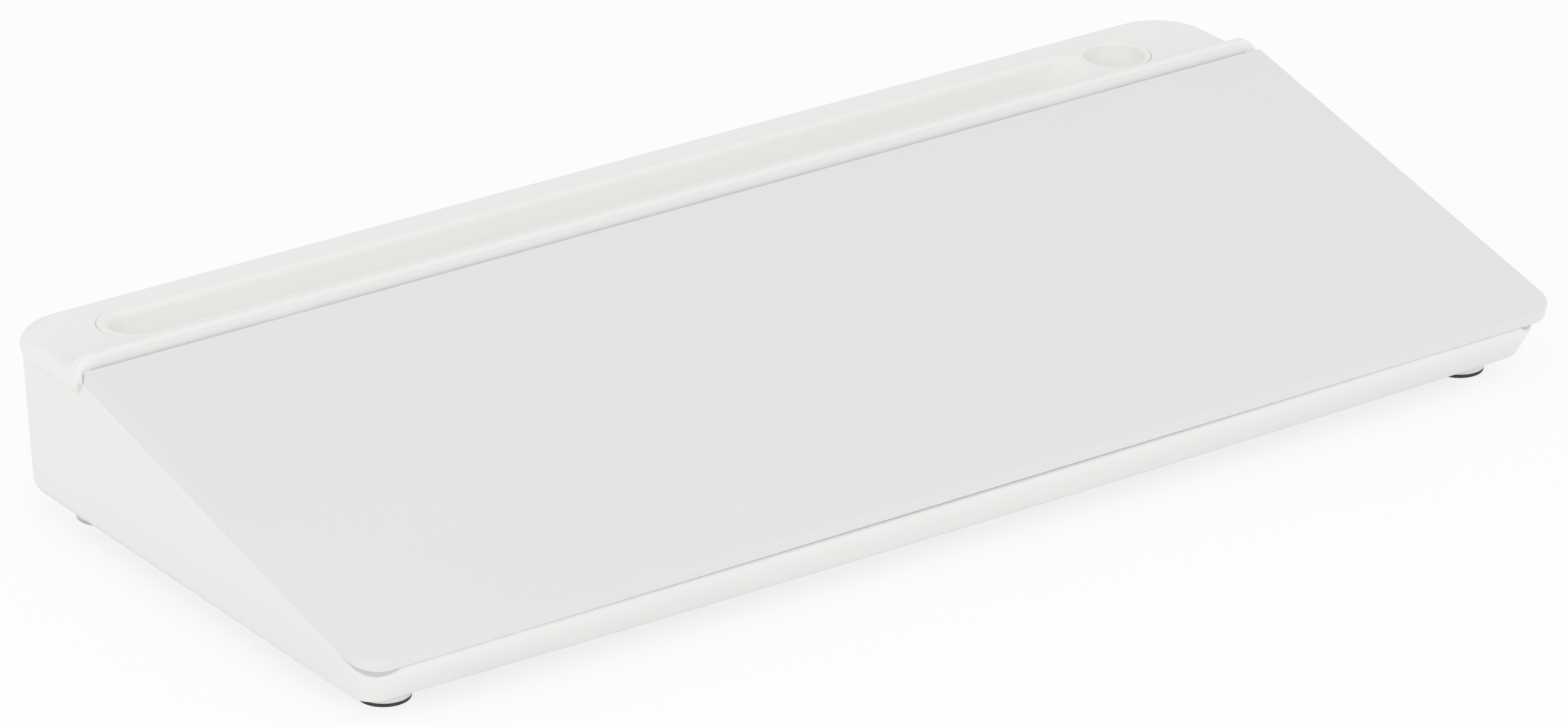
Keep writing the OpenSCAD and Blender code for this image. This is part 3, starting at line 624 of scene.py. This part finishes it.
def tub_column(rim, bottom, inside):
    """Section of the tub at one place of its outline, from the underside over the rim to the floor."""
    nx, ny = bottom[2:]
    top = rim_top(rim[0], rim[1])
    lip = RIM_R if rim[1] < CHEEK_Y + EPS else SEAT_EDGE_R
    back = clamp((rim[1] - SIDE_FRONT_Y) / (SIDE_REAR_Y - SIDE_FRONT_Y))
    edge_r = BOTTOM_FRONT_EDGE_R + (BOTTOM_REAR_EDGE_R - BOTTOM_FRONT_EDGE_R) * back
    band = band_foot(rim, bottom)
    glass_z = under_glass(rim[1])
    outer_foot = foot_arc(bottom, edge_r, UNDER_Z, band)
    rim_share = (top - lip - band[2]) / (glass_z - band[2])
    outer = [outer_foot[-1], band, lerp(band, (rim[0], rim[1], glass_z), rim_share)]
    inner_band, inner_top = [(x - rim[2] * WALL, y - rim[3] * WALL, z) for x, y, z in outer[1:]]
    inner_foot = foot_arc(inside, FLOOR_EDGE_R, FLOOR_Z, inner_band)
    inner = [inner_foot[-1], inner_band, inner_top]
    if top - lip < band[2]:
        for path in (outer, inner):
            t = (top - lip - path[0][2]) / (path[1][2] - path[0][2])
            path[2] = lerp(path[0], path[1], t)
            path[1] = lerp(path[0], path[1], LOW_BAND * t)

    points = outer_foot + [lerp(outer[0], outer[1], t) for t in WALL_SHARES]
    bend_start = lerp(outer[0], outer[1], BEND_FROM)
    bend_end = lerp(outer[1], outer[2], BEND_TO)
    for i in range(BEND_STEPS + 1):
        t = i / BEND_STEPS
        points.append(lerp(lerp(bend_start, outer[1], t), lerp(outer[1], bend_end, t), t))
    points += [lerp(outer[1], outer[2], t) for t in BAND_SHARES]
    turns = quarter(RIM_STEPS)[1:]
    for (x, y, z), way, angles in ((outer[2], -1, turns), (inner[2], 1, turns[::-1])):
        for a in angles:
            d = way * lip * (1 - math.cos(a))
            points.append((x + nx * d, y + ny * d, top - lip * (1 - math.sin(a))))
    points += [lerp(inner[2], inner[1], t) for t in INNER_SHARES]
    points += [lerp(inner[1], inner[0], t) for t in INNER_SHARES]
    return points + inner_foot[::-1]


def tub_shell():
    """Wedge-shaped shell: flat underside, rounded bottom edge, leaning wall and band, rounded rim, hollow."""
    bottom_half = TUB_HALF - SIDE_UNDERCUT
    rear_half = TUB_HALF - REAR_INSET
    rear_y = TUB_REAR_Y - REAR_INSET
    lean = math.atan(UNDERCUT / FRONT_WALL_H)
    inner_front = UNDERCUT * (1 - FLOOR_T / FRONT_WALL_H) + WALL / math.cos(lean)
    rim = tub_outline(TUB_HALF, TUB_HALF, TUB_FRONT_Y, TUB_REAR_Y, RIM_FRONT_R, TUB_REAR_R)
    bottom = tub_outline(bottom_half, rear_half, UNDERCUT, rear_y, BOTTOM_FRONT_R, TUB_REAR_R, FRONT_BOW)
    inside = tub_outline(bottom_half - WALL, rear_half - WALL, inner_front, rear_y - WALL,
                         BOTTOM_FRONT_R - WALL, TUB_REAR_R - WALL)
    columns = [tub_column(*rows) for rows in zip(rim, bottom, inside)]
    return loft("tub_shell", [mirrored(list(level)) for level in zip(*columns)])


def tub_room():
    """Space inside the middle of the tub's wall, up to the glass."""
    low = half_outline(TUB_HALF - SIDE_UNDERCUT, TUB_HALF - REAR_INSET, UNDERCUT, TUB_REAR_Y - REAR_INSET,
                       BOTTOM_FRONT_R, TUB_REAR_R)
    high = half_outline(TUB_HALF, TUB_HALF, TUB_FRONT_Y, TUB_REAR_Y, RIM_FRONT_R, TUB_REAR_R)
    feet = [band_foot(rim, bottom) for rim, bottom in zip(high, low)]
    band = [foot[:2] + row[2:] for foot, row in zip(feet, high)]
    return loft("room", [ring(low, WALL / 2, UNDER_Z + ROOM_FOOT),
                         ring(band, WALL / 2, [z for x, y, z in feet]),
                         ring(high, WALL / 2, [z + BAND_DROP for x, y, z in feet])])


def screw_recess(x, y):
    """Recess for a screw's head in the underside of the tub."""
    low = UNDER_Z - LAP
    high = FLOOR_Z + LAP
    return lathe("recess", [(0, low), (HEAD_R, low), (HEAD_R, high), (0, high)], x, y, RECESS_STEPS)


def tower(name, x, y, height, hole_r, hole_h, roof_r):
    """Screw boss on the floor, hollow from below, with a smaller hole through its roof."""
    foot_z = UNDER_Z + LAP
    top = FLOOR_Z + height
    hole_z = FLOOR_Z + hole_h
    outline = [(hole_r, foot_z), (BOSS_R, foot_z)] + rounded_edge(BOSS_R, top, BOSS_EDGE, 1)
    outline += [(roof_r, top), (roof_r, hole_z), (hole_r, hole_z)]
    piece(lathe(name, outline, x, y), "base", "white_abs", "base_tub")


def bulkhead():
    """Wall across the tub in front of the cap's screws, which carries the hinge ears."""
    half = TUB_HALF - WALL + BULKHEAD_LAP
    low_half = TUB_HALF - REAR_INSET - BOTTOM_REAR_EDGE_R
    right = [(low_half, FLOOR_Z - LAP), (half - BULKHEAD_TAPER, FLOOR_Z + BULKHEAD_TAPER_H), (half, PART_Z),
             (half, LIP_SEEN)]
    outline = right + [(-x, z) for x, z in reversed(right)]
    wall = stack("bulkhead", [[(x, y, z) for x, z in outline] for y in (BULKHEAD_Y, BULKHEAD_BACK_Y)])
    piece(wall, "base", "white_abs", "base_tub", bevel=BULKHEAD_BEVEL)


def bay_rib(name, x):
    """Rib between two storage bays, below the lid's plate."""
    rear_y = BULKHEAD_Y + LAP
    outline = [(RIB_FRONT_Y, FLOOR_Z - LAP), (rear_y, FLOOR_Z - LAP)]
    outline += [(y, under_glass(y) - RIB_DROP / COS) for y in (rear_y, RIB_FRONT_Y)]
    rib = prism(name, outline, x - RIB_T / 2, x + RIB_T / 2)
    piece(rib, "base", "white_abs", "base_tub", bevel=RIB_BEVEL)


def hinge_ear(name, x):
    """Ear on the bulkhead that holds a hinge pin."""
    rear_y = BULKHEAD_Y + EAR_LAP
    outline = arc(HINGE_Y, HINGE_Z, KNUCKLE_R, 90, 270, EAR_STEPS)
    outline += [(rear_y, HINGE_Z - KNUCKLE_R), (rear_y, HINGE_Z + KNUCKLE_R)]
    ear = prism(name, outline, x - EAR_T / 2, x + EAR_T / 2)
    cut(ear, prism("bore", circle(HINGE_Y, HINGE_Z, PIN_R, EAR_STEPS), x - EAR_T, x + EAR_T))
    piece(ear, "base", "white_abs", "base_tub", bevel=EAR_BEVEL)


def bumper_post(name, side):
    """Post under a corner bumper, whose top follows the bumper's curved seat."""
    def top_ring(r, drop):
        """Ring of one radius, a drop below the seat."""
        points = circle(TUB_HALF - POST_INSET, POST_INSET, r, POST_STEPS)
        depths = [max(RIM_GAP, seat_depth(x, y)) / COS + POST_CLEAR + drop for x, y in points]
        return [(side * x, y, under_glass(y) - depth) for (x, y), depth in zip(points, depths)]

    rings = [top_ring(POST_R, POST_EDGE), top_ring(POST_R - POST_EDGE, 0)]
    rings += [top_ring(POST_R * share, 0) for share in POST_SHARES]
    foot_ring = [(x, y, FLOOR_Z - LAP) for x, y, z in rings[0]]
    post = stack(name, [foot_ring] + rings)
    cut(post, tub_room(), operation="INTERSECT")
    piece(post, "base", "white_abs", "base_tub")


def bumper_pad(name, node_name, side):
    """Corner bumper: a pad with a round underside along the corner's diagonal, cut to the rim's outline."""
    middle = BUMPER_SEAT_R - BUMPER_H
    pad_r = BUMPER_SEAT_R - BUMPER_FIT
    spread = math.degrees(math.acos((middle + BUMPER_GAP) / pad_r))
    section = arc(0, middle, pad_r, 270 - spread, 270 + spread, BUMPER_STEPS)
    diagonal = math.sqrt(0.5)
    rings = []
    for d in (0, BUMPER_L):
        rings.append(on_slope([(side * (GLASS_HALF + (u - d) * diagonal), (u + d) * diagonal, w)
                               for u, w in section]))
    bumper = stack(name, rings)
    rim = half_outline(TUB_HALF, TUB_HALF, TUB_FRONT_Y, TUB_REAR_Y, RIM_FRONT_R, TUB_REAR_R,
                       corner=BUMPER_RIM_STEPS)
    inside = loft("inside", [ring(rim, BUMPER_INSET, z) for z in (UNDER_Z, RIDGE_Z)])
    cut(bumper, inside, operation="INTERSECT")
    piece(bumper, "base", "grey_rubber", node_name, bevel=BUMPER_BEVEL)


shell = tub_shell()
cut(shell, *[screw_recess(side * x, CAP_SCREW_Y) for side, word in SIDES for x in CAP_SCREW_X])
piece(shell, "base", "white_abs", "base_tub", sharp=28)

for side, word in SIDES:
    for i, x in enumerate(CAP_SCREW_X):
        tower("cap_tower_%s_%d" % (word, i + 1), side * x, CAP_SCREW_Y, TOWER_H, HEAD_R,
              TOWER_H - TOWER_ROOF, SCREW_R)
    for (x, y), place in ((FOOT_FRONT, "front"), (FOOT_REAR, "rear")):
        tower("foot_boss_%s_%s" % (place, word), side * x, y, FOOT_BOSS_H, PILOT_R, FOOT_BOSS_HOLE, VENT_R)

bulkhead()
for side, word in SIDES:
    bay_rib("bay_rib_" + word, side * RIB_X)
    for way in (-1, 1):
        place = "outer" if way == side else "inner"
        hinge_ear("hinge_ear_%s_%s" % (word, place),
                  side * HINGE_X + way * (KNUCKLE_L / 2 + EAR_GAP + EAR_T / 2))
    bumper_post("bumper_post_" + word, side)
    bumper_pad("bumper_pad_" + word, "corner_bumper_" + word, side)


# Rear cap

def cap_top(y):
    """Height of the cap's top: the ridge, its soft slope and the ledge."""
    t = clamp((y - CREST_Y) / RIDGE_RUN)
    return LEDGE_Z + RIDGE_H * (1 + math.cos(math.pi * t)) / 2


def end_radius(y):
    """Rounding of the cap's ends, larger on the ridge."""
    return CAP_EDGE_R + (RIDGE_END_R - CAP_EDGE_R) * (cap_top(y) - LEDGE_Z) / RIDGE_H


def leaned(rows, heights):
    """Rows of the cap's front moved back, as the ridge's face leans, less and less towards the crest."""
    moved = []
    for (x, y, nx, ny), z in zip(rows, heights):
        rise = clamp((z - LIP_Z) / RIDGE_RISE)
        near = clamp((CREST_Y - y) / (CREST_Y - RIDGE_Y))
        moved.append((x, y + RIDGE_LEAN * rise * near, nx, ny))
    return moved


def cap_body():
    """Cap as a closed body: tucked lower edge, bull-nosed ends and rear, ridge and ledge."""
    side_ys = [CREST_Y + RIDGE_RUN * i / CAP_SLOPE_STEPS for i in range(CAP_SLOPE_STEPS + 1)]
    side_ys.append(CREST_Y + RIDGE_RUN + LEDGE_START)

    def rows_at(lift):
        """Outline drawn in by the rounded top edge; lift runs from 0 at the side to 1 on top."""
        sides = [(CAP_HALF - end_radius(y) * lift, y) for y in side_ys]
        return half_outline(CAP_HALF - RIDGE_END_R * lift, CAP_HALF - CAP_EDGE_R * lift,
                            RIDGE_Y + RIDGE_EDGE_R * lift, CAP_REAR_Y - CAP_EDGE_R * lift,
                            CAP_FRONT_R - (CAP_FRONT_R - RIDGE_EDGE_R) * lift,
                            CAP_REAR_R - CAP_EDGE_R * lift, (RIDGE_TURN, 1.0), sides,
                            corner=CAP_CORNER_STEPS)

    base = rows_at(0)
    bend = [1 - math.cos(a) for a in quarter(CAP_CORNER_STEPS)]
    radii = [RIDGE_EDGE_R] + [RIDGE_TURN_R + (RIDGE_END_R - RIDGE_TURN_R) * b for b in bend]
    radii += [end_radius(y) for y in side_ys] + [CAP_EDGE_R] * len(bend)
    tucks = [0.0] + [SKIRT_TUCK * b for b in bend] + [SKIRT_TUCK] * (len(side_ys) + len(bend))
    rings = []
    for i in range(SKIRT_STEPS + 1):
        a = SKIRT_TURN * i / SKIRT_STEPS
        skirt_z = PART_Z + SKIRT_ROUND * (1 - math.cos(a))
        rings.append(ring(base, [t * (1 - math.sin(a)) for t in tucks], skirt_z))
    middles = [(skirt_z + cap_top(row[1]) - r) / 2 for row, r in zip(base, radii)]
    heights = [z + (LIP_Z - z) * max(0, -row[3]) for z, row in zip(middles, base)]
    rings.append(ring(base, 0.0, heights))
    for a in quarter(CAP_EDGE_STEPS)[1:]:
        rows = rows_at(1 - math.cos(a))
        heights = [cap_top(row[1]) - r * (1 - math.sin(a)) for row, r in zip(rows, radii)]
        rings.append(ring(leaned(rows, heights), 0.0, heights))
    return loft("rear_cap_shell", rings)


def cap_hollow():
    """Space under the cap, one wall thickness inside it and open to the front."""
    half = CAP_HALF - CAP_WALL
    roof = LEDGE_Z - CAP_WALL
    rows = half_outline(half, half, RIDGE_Y - PAST, CAP_REAR_Y - CAP_WALL, HOLLOW_FRONT_R,
                        CAP_REAR_R - CAP_WALL, sides=[(half, CREST_Y + RIDGE_RUN)])
    return loft("hollow", [ring(rows, 0.0, PART_Z - PAST), ring(rows, 0.0, roof - HOLLOW_CHAMFER),
                           ring(rows, HOLLOW_CHAMFER, roof)])


def ridge_room():
    """Space under the ridge between the cheeks, up to its lower edge."""
    front = RIDGE_Y - PAST
    rear = BULKHEAD_BACK_Y + BULKHEAD_FIT
    low = PART_Z - PAST
    outline = [(front, low), (rear, low), (rear, LIP_SEEN), (front, LIP_SEEN)]
    return prism("ridge_room", outline, CHEEK_W - CAP_HALF, CAP_HALF - CHEEK_W)


def cheek_cut():
    """Space in front of the cheeks, square to the glass."""
    front = RIDGE_Y - PAST
    low = PART_Z - PAST
    outline = [(front, LIP_Z), (RIDGE_Y, LIP_Z), (RIDGE_Y + (LIP_Z - low) * TAN, low), (front, low)]
    return prism("cheek_cut", outline, -CAP_HALF - PAST, CAP_HALF + PAST)


def toe(x):
    """Rounded toe that brings a cheek closer to the glass and down to the rim."""
    low = under_glass(RIDGE_Y - TOE) - RIM_GAP / COS - TOE_LAP
    outline = [(RIDGE_Y - TOE, low), (RIDGE_Y - TOE, LIP_Z), (RIDGE_Y + TOE_ROOT_Y, LIP_Z + TOE_ROOT_RISE),
               (RIDGE_Y + TOE_BACK, low)]
    return soften(prism("toe", outline, x, x + CHEEK_W - TOE_INSET), TOE_R, TOE_SHARP)


def stadium(profile):
    """Rings of the tray's round-ended outline, one for each (radius, z) of a profile."""
    rings = []
    for r, z in profile:
        outline = arc(TRAY_RIGHT, TRAY_Y, r, -90, 90, TRAY_END_STEPS)
        outline += arc(TRAY_LEFT, TRAY_Y, r, 90, 270, TRAY_END_STEPS)
        rings.append([(x, y, z) for x, y in outline])
    return rings


def tray_slot():
    """Hole for the tray, which opens at the top into the joint that is seen."""
    return stack("slot", stadium([
        (TRAY_R + TRAY_FIT, PART_Z),
        (TRAY_R + TRAY_FIT, LEDGE_Z - JOINT_FOOT),
        (JOINT_R, LEDGE_Z - JOINT_DEPTH),
        (JOINT_R, LEDGE_Z - JOINT_CHAMFER),
        (JOINT_R + JOINT_CHAMFER, LEDGE_Z),
        (JOINT_R + JOINT_CHAMFER + JOINT_PAST, LEDGE_Z + JOINT_PAST)]))


def tray_collar():
    """Collar under the cap's ledge, with the seat for the tray's flange."""
    top = LEDGE_Z - CAP_WALL + COLLAR_LAP
    seat = LEDGE_Z - FLANGE_T - SEAT_GAP
    foot_z = LEDGE_Z - COLLAR_H
    hole_r = WELL_R + TRAY_WALL + TRAY_GAP
    return stack("tray_collar", stadium([
        (JOINT_R, top), (JOINT_R, seat), (hole_r + COLLAR_CHAMFER, seat), (hole_r, seat - COLLAR_CHAMFER),
        (hole_r, foot_z), (JOINT_R + COLLAR_T, foot_z), (JOINT_R + COLLAR_T, top)]), closed=True)


def cap_boss(name, x):
    """Boss under the cap's ledge that takes a screw from below."""
    low = FLOOR_Z + TOWER_H
    high = LEDGE_Z - LAP
    outline = [(PILOT_R, low), (CAP_BOSS_R - CAP_BOSS_CHAMFER, low), (CAP_BOSS_R, low + CAP_BOSS_CHAMFER),
               (CAP_BOSS_R, high), (PILOT_R, high)]
    piece(lathe(name, outline, x, CAP_SCREW_Y), "base", "white_abs", "rear_cap")


cap = cap_body()
cut(cap, cap_hollow(), ridge_room(), cheek_cut(), tray_slot())
cut(cap, toe(TOE_INSET - CAP_HALF), toe(CAP_HALF - CHEEK_W), operation="UNION")
piece(cap, "base", "white_abs", "rear_cap", sharp=30)
piece(tray_collar(), "base", "white_abs", "rear_cap")
for side, word in SIDES:
    for i, x in enumerate(CAP_SCREW_X):
        cap_boss("cap_boss_%s_%d" % (word, i + 1), side * x)


# Pen tray

def groove_ring(depth, grow=0.0, flare=0.0):
    """Outline of the groove at a depth: round at the left, drawn out to a ramp at the right."""
    r = GROOVE_R + grow
    z = LEDGE_Z - depth
    down = clamp(depth / r)
    wide = r * math.sqrt(1 - down ** 2) + flare
    long = (GROOVE_RAMP + grow) * (1 - down) ** RAMP_POWER + flare
    points = []
    for i in range(RAMP_STEPS + 1):
        a = math.pi * (i / RAMP_STEPS - 0.5)
        along = long * abs(math.cos(a)) ** RAMP_SQUARE
        across = wide * abs(math.sin(a)) ** RAMP_SQUARE
        points.append((GROOVE_STOP + along, TRAY_Y + math.copysign(across, a), z))
    return points + [(x, y, z) for x, y in arc(TRAY_LEFT, TRAY_Y, wide, 90, 270, TRAY_END_STEPS)]


def soft_edge(size):
    """Rounding of an upper edge, as steps outwards and down."""
    angles = [SOFT_TURN * i / SOFT_STEPS for i in range(SOFT_STEPS + 1)]
    return [(size * (1 - math.sin(a)), size * (1 - math.cos(a))) for a in angles]


def groove_cutter():
    """Pen groove with a softly rounded upper edge."""
    rings = [groove_ring(-LAP, flare=GROOVE_SOFT + LAP)]
    rings += [groove_ring(down, flare=out) for out, down in soft_edge(GROOVE_SOFT)]
    rings += [groove_ring(GROOVE_R * math.sin(math.radians(a))) for a in GROOVE_ANGLES]
    return stack("groove", rings)


def trough():
    """Underside of the groove, below the tray's flange."""
    r = GROOVE_R + TRAY_WALL
    rings = [groove_ring(FLANGE_T / 2, TRAY_WALL)]
    rings += [groove_ring(r * math.sin(math.radians(a)), TRAY_WALL) for a in TROUGH_ANGLES]
    return stack("trough", rings)


def bowl(radius, depth):
    """Profile of the finger well, from its edge to its middle."""
    angles = [math.radians(a) for a in BOWL_ANGLES]
    power = 2 / WELL_POWER
    return [(radius * math.cos(a) ** power, LEDGE_Z - depth * math.sin(a) ** power) for a in angles]


def tray_body():
    """Flange with a trough and a cup below it, the groove and the finger well cut into it."""
    low = LEDGE_Z - FLANGE_T
    start = FLANGE_EDGE[0]
    flange = [(TRAY_R - start, low), (TRAY_R, low + start)] + rounded_edge(TRAY_R, LEDGE_Z, FLANGE_EDGE, 1)
    body = stack("pen_tray_shell", stadium(flange))
    cup_r = WELL_R + TRAY_WALL
    cup = [(0.0, LEDGE_Z - LAP), (cup_r, LEDGE_Z - LAP)] + bowl(cup_r, WELL_H + TRAY_WALL)[1:]
    cut(body, trough(), lathe("cup", cup, TRAY_RIGHT, TRAY_Y, CUP_STEPS), operation="UNION")
    well = [(0.0, LEDGE_Z + LAP), (WELL_R + WELL_SOFT + LAP, LEDGE_Z + LAP)]
    well += [(WELL_R + out, LEDGE_Z - down) for out, down in soft_edge(WELL_SOFT)] + bowl(WELL_R, WELL_H)
    cut(body, groove_cutter(), lathe("well", well, TRAY_RIGHT, TRAY_Y, WELL_STEPS))
    return body


piece(tray_body(), "tray", "white_abs", "pen_tray", sharp=40)


# Glass panel

def glass_plate():
    """Plate with rounded corners and softened edges; its clear border and edges take their own finish."""
    half = GLASS_HALF - GLASS_BORDER
    rows = half_outline(GLASS_HALF, GLASS_HALF, 0, GLASS_W, GLASS_FRONT_R, GLASS_REAR_R,
                        corner=FINE_CORNER_STEPS)
    border = half_outline(half, half, GLASS_BORDER, GLASS_W - GLASS_BORDER, GLASS_FRONT_R - GLASS_BORDER,
                          BORDER_REAR_R, corner=FINE_CORNER_STEPS)
    turns = quarter(ARRIS_STEPS)
    ins = [GLASS_ARRIS * (1 - math.sin(a)) for a in turns]
    ups = [GLASS_ARRIS * (1 - math.cos(a)) for a in turns]
    rings = [ring(rows, s, c) for s, c in zip(ins, ups)]
    rings += [ring(rows, c, GLASS_T - s) for s, c in zip(ins, ups)]
    rings.append(ring(border, 0.0, GLASS_T))
    return loft("glass_panel_plate", [on_slope(r) for r in rings], marked=range(len(rings) - 1))


piece(glass_plate(), "lid", "white_glass", "glass_panel", sharp=40, more=(GLASS_EDGE,))


# Feet and their pads

def foot(name, node_name, x, y):
    """Round foot with a recess for its screw's head."""
    head_z = PAD_T + HEAD_DEPTH
    outline = [(SCREW_R, UNDER_Z), (FOOT_R - FOOT_CHAMFER, UNDER_Z), (FOOT_R, UNDER_Z - FOOT_CHAMFER)]
    outline += rounded_edge(FOOT_R, PAD_T, FOOT_EDGE, -1)
    outline += [(HEAD_R, PAD_T), (HEAD_R, head_z), (SCREW_R, head_z)]
    piece(lathe(name, outline, x, y, FOOT_STEPS), "base", "white_abs", node_name)


def pad(name, node_name, x, y, slot):
    """Rubber disc under a foot."""
    outline = [(0.0, 0.0)] + rounded_edge(PAD_R, 0.0, PAD_LOWER_EDGE, -1)[::-1]
    outline += rounded_edge(PAD_R, PAD_T, PAD_UPPER_EDGE, 1) + [(0.0, PAD_T)]
    piece(lathe(name, outline, x, y, FOOT_STEPS), "base", slot, node_name)


FEET = ((FOOT_FRONT, "front", "black_rubber"), (FOOT_REAR, "rear", "grey_rubber"))

for side, word in SIDES:
    for (x, y), place, rubber in FEET:
        tail = "%s_%s" % (place, word)
        foot("foot_body_" + tail, "foot_" + tail, side * x, y)
        pad("rubber_pad_" + tail, "foot_pad_" + tail, side * x, y, rubber)

# Camera solved from the photo, with its place in metres and its angles in degrees
IMAGE_W = 2576
FOCAL_PX = 14116.84
SENSOR_W = 36.0
CLIP_END = 20.0
CAM_PLACE = (-1.41858, -1.99393, 1.11993)
CAM_AZIMUTH = -35.361443
CAM_ELEVATION = 24.101414
CAM_ROLL = 0.042745

cam_data = bpy.data.cameras.new("camera")
cam_data.sensor_width = SENSOR_W
cam_data.lens = SENSOR_W * FOCAL_PX / IMAGE_W
cam_data.clip_end = CLIP_END
cam = bpy.data.objects.new("camera", cam_data)
bpy.context.scene.collection.objects.link(cam)
cam_pose = Matrix.Translation(CAM_PLACE)
for angle, axis in ((CAM_AZIMUTH, "Z"), (90 - CAM_ELEVATION, "X"), (CAM_ROLL, "Z")):
    cam_pose = cam_pose @ Matrix.Rotation(math.radians(angle), 4, axis)
cam.matrix_world = cam_pose
bpy.context.scene.camera = cam

# Two soft lamps aimed at the object, with their places and size in metres and their power in watts
LAMP_SIZE = 1.2
LAMPS = {"left": ((-2.1, -0.3, 1.25), 5.5), "front": ((-0.2, -2.3, 0.9), 8.5)}

for name, (place, power) in LAMPS.items():
    lamp_data = bpy.data.lights.new(name, "AREA")
    lamp_data.shape = "DISK"
    lamp_data.size = LAMP_SIZE
    lamp_data.energy = power
    lamp = bpy.data.objects.new(name, lamp_data)
    lamp.location = place
    lamp.rotation_mode = "QUATERNION"
    lamp.rotation_quaternion = (-Vector(place)).to_track_quat("-Z", "Y")
    bpy.context.scene.collection.objects.link(lamp)

# Floor: it keeps the object's shadow, and the camera and reflections see it as nearly white
FLOOR_HALF = 6.0  # in metres
WHITE_SHARE = 0.78
WHITE = (1, 1, 1, 1)

floor = bpy.data.objects.new("floor", bpy.data.meshes.new("floor"))
corners = [(x * FLOOR_HALF, y * FLOOR_HALF, 0) for x, y in ((-1, -1), (1, -1), (1, 1), (-1, 1))]
floor.data.from_pydata(corners, [], [(0, 1, 2, 3)])
bpy.context.scene.collection.objects.link(floor)
floor_mat = material("floor", (0.95, 0.95, 0.95), 0.9, vary=0.003)
nodes = floor_mat.node_tree.nodes
links = floor_mat.node_tree.links
path = nodes.new("ShaderNodeLightPath")
seen = path.outputs["Is Camera Ray"]
for ray in ("Is Glossy Ray", "Is Transmission Ray"):
    either = nodes.new("ShaderNodeMath")
    either.operation = "ADD"
    either.use_clamp = True
    links.new(seen, either.inputs[0])
    links.new(path.outputs[ray], either.inputs[1])
    seen = either.outputs["Value"]
share = nodes.new("ShaderNodeMath")
share.operation = "MULTIPLY"
share.inputs[1].default_value = WHITE_SHARE
links.new(seen, share.inputs[0])
glow = nodes.new("ShaderNodeEmission")
glow.inputs["Color"].default_value = WHITE
both = nodes.new("ShaderNodeMixShader")
surface = nodes["Material Output"].inputs["Surface"]
links.new(share.outputs["Value"], both.inputs["Fac"])
links.new(surface.links[0].from_socket, both.inputs[1])
links.new(glow.outputs["Emission"], both.inputs[2])
links.new(both.outputs["Shader"], surface)
floor.data.materials.append(floor_mat)

# Even light from all round
WORLD_STRENGTH = 0.885

world = bpy.data.worlds.new("world")
bpy.context.scene.world = world
world.use_nodes = True
nodes = world.node_tree.nodes
links = world.node_tree.links
nodes.clear()
out = nodes.new("ShaderNodeOutputWorld")
sky = nodes.new("ShaderNodeBackground")
sky.inputs["Color"].default_value = WHITE
sky.inputs["Strength"].default_value = WORLD_STRENGTH
links.new(sky.outputs["Background"], out.inputs["Surface"])

bpy.context.scene.view_settings.view_transform = "Standard"
